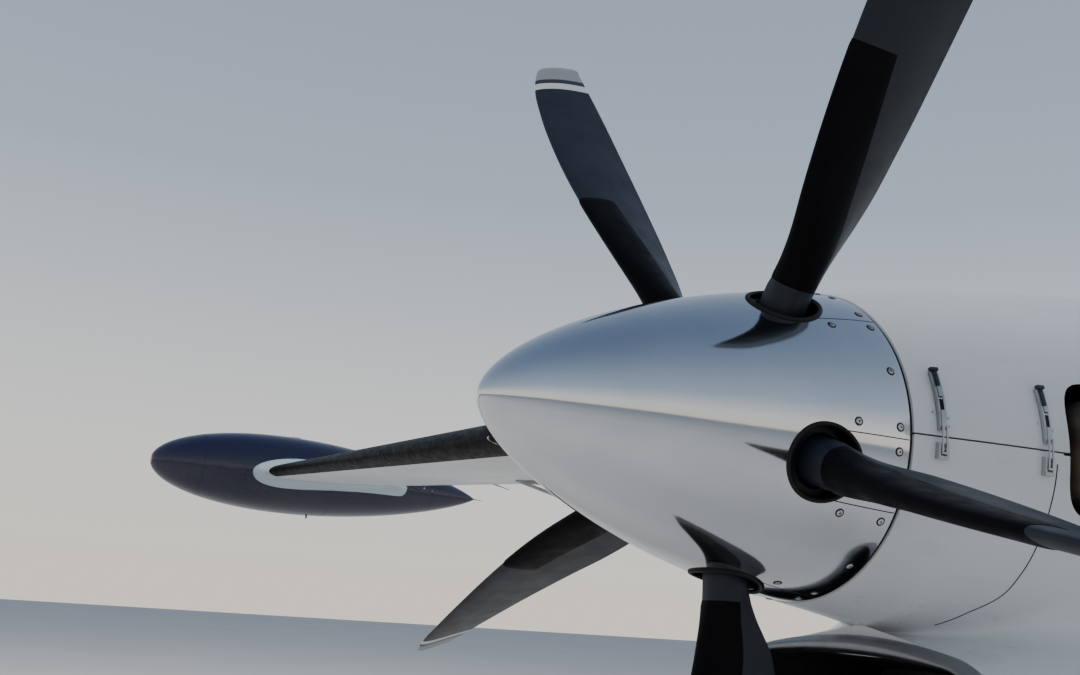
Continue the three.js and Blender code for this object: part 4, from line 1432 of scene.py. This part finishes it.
# Static wicks on the trailing edge: x in metres, and the body that carries it
WICKS = [
  (-7.00, "aileron_tab"),
  (-7.90, "aileron"),
  (-8.25, "aileron"),
]
# A wick's line from the trailing edge, and its radii, in metres
WICK_LINE = [(0, -0.03, 0.003), (0, 0.0, 0.001), (0, 0.06, -0.010), (0, 0.125, -0.025)]
WICK_RADII = [0.004, 0.004, 0.003, 0.0022]
TAIL_LINE = [(0, -0.02, 0), (0, 0.03, -0.002), (0, 0.085, -0.006)]
TAIL_RADII = [0.005, 0.003, 0.0018]


def make_wicks():
    for i, (x, body) in enumerate(WICKS):
        edge = wing_point(x, 0.998, True)
        tube("static_wick_%d" % (i + 1), [edge + step for step in WICK_LINE], WICK_RADII, RUBBER, body, 10)


# Tip tank
TANK = dict(x=-8808, nose=299, length=2752, width=300, height=306, z=218, droop=-15)


def tank_point(t, a):
    """A point of the tank's skin at t of its length and angle a from its top."""
    shape = 2.38 * math.sqrt(t) * (1 - t) ** 0.8
    x = TANK["x"] + TANK["width"] * shape * math.sin(a)
    z = TANK["z"] + TANK["droop"] * t * t + TANK["height"] * shape * math.cos(a)
    return np.array([x, TANK["length"] * t, z]) * MM + (0, THRUST[1] + TANK["nose"] * MM, 0)


def tank_ring(t):
    return np.array([tank_point(t, a) for a in angles(72)])


# Fairing of wing and tank: distance outboard, and how far it stands out ahead, behind, above and below
FAIRING = [
  [8400, 4, 4, 3, 3],
  [8450, 34, 60, 16, 44],
  [8510, 78, 140, 36, 92],
  [8620, 78, 140, 36, 92],
]
FAIRING_XS = [-8400, -8415, -8432, -8450, -8470, -8490, -8510, -8560, -8620]
# Least half thickness of the fairing in metres, and where on its chord it starts and rounds off
BLUNT = {"upper": 0.023, "lower": 0.072, "from": 0.25, "round": 0.955}
BLUNT_POWER = 6


def blunt_edge(g, upper, share):
    """The least half thickness of the fairing, which ends in a round edge and not a sharp one."""
    grown = min(1.0, max(0.0, (g - BLUNT["from"]) / 0.3))
    ended = max(0.0, (g - BLUNT["round"]) / (1 - BLUNT["round"]))
    return share * BLUNT["upper" if upper else "lower"] * grown * math.sqrt(max(0.0, 1 - ended * ended))


def fairing_solid(name, out, xs):
    f = (1 - np.cos(np.linspace(0, math.pi, 49))) / 2
    rings = []
    for x in xs:
        ahead, behind, above, below = (v * MM for v in straight_row(FAIRING, -x))
        x = x * MM
        chord = ROOT_CHORD + TAPER * x
        lead = ROOT_LE_Y - SWEEP * x
        ring = []
        for upper, sign, more, fs in ((True, 1, above, f), (False, -1, below, f[::-1])):
            for p in wing_point(x, fs, upper):
                g = (p[1] - lead) / chord
                mean = ROOT_LE_Z - DIHEDRAL * x - INCIDENCE * g * chord
                wide = abs(p[2] - mean) * (1 + more / (THICK_TIP / 2))
                least = blunt_edge(g, upper, below / 0.092)
                tall = (wide ** BLUNT_POWER + least ** BLUNT_POWER) ** (1 / BLUNT_POWER)
                y = lead - ahead + g * (chord + ahead + behind)
                ring.append((x, y, mean + sign * tall + sign * out))
        rings.append(ring)
    return lofted(name, rings, PALE, None)


def make_tank():
    ts = [0.002 + 0.996 * (0.5 - 0.5 * math.cos(math.pi * i / 56)) for i in range(57)]
    tank = lofted("tip_tank_skin", [tank_ring(t) for t in ts], NAVY, None, 40)
    boolean(tank, [fairing_solid("skirt", GAP, [-row[0] for row in FAIRING])])
    tidied(tank)
    stand_in(tank, "tip_tank")
    pad = fairing_solid("tank_fairing_skin", 0.0, FAIRING_XS)
    boolean(pad, [wing_cutter(TIP_X - GAP)])
    tidied(pad, 30)
    stand_in(pad, "tank_fairing")


def on_tank(t, degrees):
    """A point of the tank's skin and its normal, at t of its length and an angle from its top."""
    p = tank_point(t, math.radians(degrees))
    across = tank_point(t, math.radians(degrees + 0.5)) - p
    n = np.cross(across, tank_point(t + 0.002, math.radians(degrees)) - p)
    n /= np.linalg.norm(n)
    if n @ (p - (TANK["x"] * MM, p[1], TANK["z"] * MM)) < 0:
        n = -n
    return p, n


# Rods on the tank: name, place, where the skin faces as the rod does, height, radius, sides, material, taper
TANK_RODS = [
  ("tank_drain", (0.46, 180), (0.46, 180), 0.024, 0.008, 20, RUBBER, 0.7),
  ("tank_fitting", (0.795, 84), (0.795, 84), 0.016, 0.012, 20, ALLOY, 0.6),
  ("tank_fitting_stub", (0.825, 88), (0.795, 84), 0.012, 0.007, 16, ALLOY, 0.7),
]
TANK_SEAMS, SEAM_ROW = (0.13, 0.50, 0.83), 0.006


def make_tank_details():
    rivets = []
    for i, t in enumerate(TANK_SEAMS):
        spots = [on_tank(t, d) for d in np.linspace(0, 360, 97)]
        strip("tank_seam_%d" % (i + 1), spots, 0.0022, 0.00015, SEAM, "root")
        for d in range(0, 360, 5):
            rivets += [on_tank(t - SEAM_ROW, d), on_tank(t + SEAM_ROW, d)]
    heads("tank_rivets", rivets, 0.0028, 0.0003, NAVY, "root", 8)
    heads("tank_cap", [on_tank(0.40, 0)], 0.046, 0.005, ALLOY, "root", 40, True, 0.3)
    for name, place, facing, height, radius, sides, material, taper in TANK_RODS:
        p, n = on_tank(*place)[0], on_tank(*facing)[1]
        rod_piece(name, p - n * 0.004, p + n * height, radius, sides, material, "root", taper)
    tail = tank_ring(0.998).mean(0)
    tube("static_wick", [tail + step for step in TAIL_LINE], TAIL_RADII, RUBBER, "root", 12)


def make_stage():
    h = FLOOR_HALF
    corners = [(-h, -h, FLOOR_Z), (h, -h, FLOOR_Z), (h, h, FLOOR_Z), (-h, h, FLOOR_Z)]
    piece("floor", corners, [(0, 1, 2, 3)], finish_floor("floor_paint"), None)
    world = bpy.data.worlds.new("studio")
    bpy.context.scene.world = world
    world.use_nodes = True
    tree = world.node_tree
    coordinate = tree.nodes.new("ShaderNodeTexCoord")
    split = tree.nodes.new("ShaderNodeSeparateXYZ")
    tree.links.new(coordinate.outputs["Generated"], split.inputs[0])
    ramp = tree.nodes.new("ShaderNodeValToRGB")
    tree.links.new(split.outputs["Z"], ramp.inputs[0])
    stops = ramp.color_ramp.elements
    for i in (0, -1):
        stops[i].position, stops[i].color = SKY[i]
    for position, color in SKY[1:-1]:
        stops.new(position).color = color
    background = tree.nodes["Background"]
    tree.links.new(ramp.outputs[0], background.inputs["Color"])
    background.inputs["Strength"].default_value = SKY_STRENGTH
    for row in LIGHTS:
        area_light(*row)


make_camera()
make_stage()
make_spinner()
make_spinner_details()
for k in range(BLADES):
    hole_rim(k)
    make_blade(k)
    make_boot(k)
make_upper_cowl()
make_lower_cowl()
make_lip()
make_chin_seam()
make_nacelle_rear()
make_lands()
make_cowl_rivets()
for side, word in SIDES:
    for i, (y, top) in enumerate(LATCHES):
        make_latch(side, word, i + 1, y, top)
for row in INSIDE:
    dressed(*row)
make_wing()
make_wing_rivets()
make_wing_boots()
make_access_plates()
make_rib_details()
make_wicks()
make_tank()
make_tank_details()
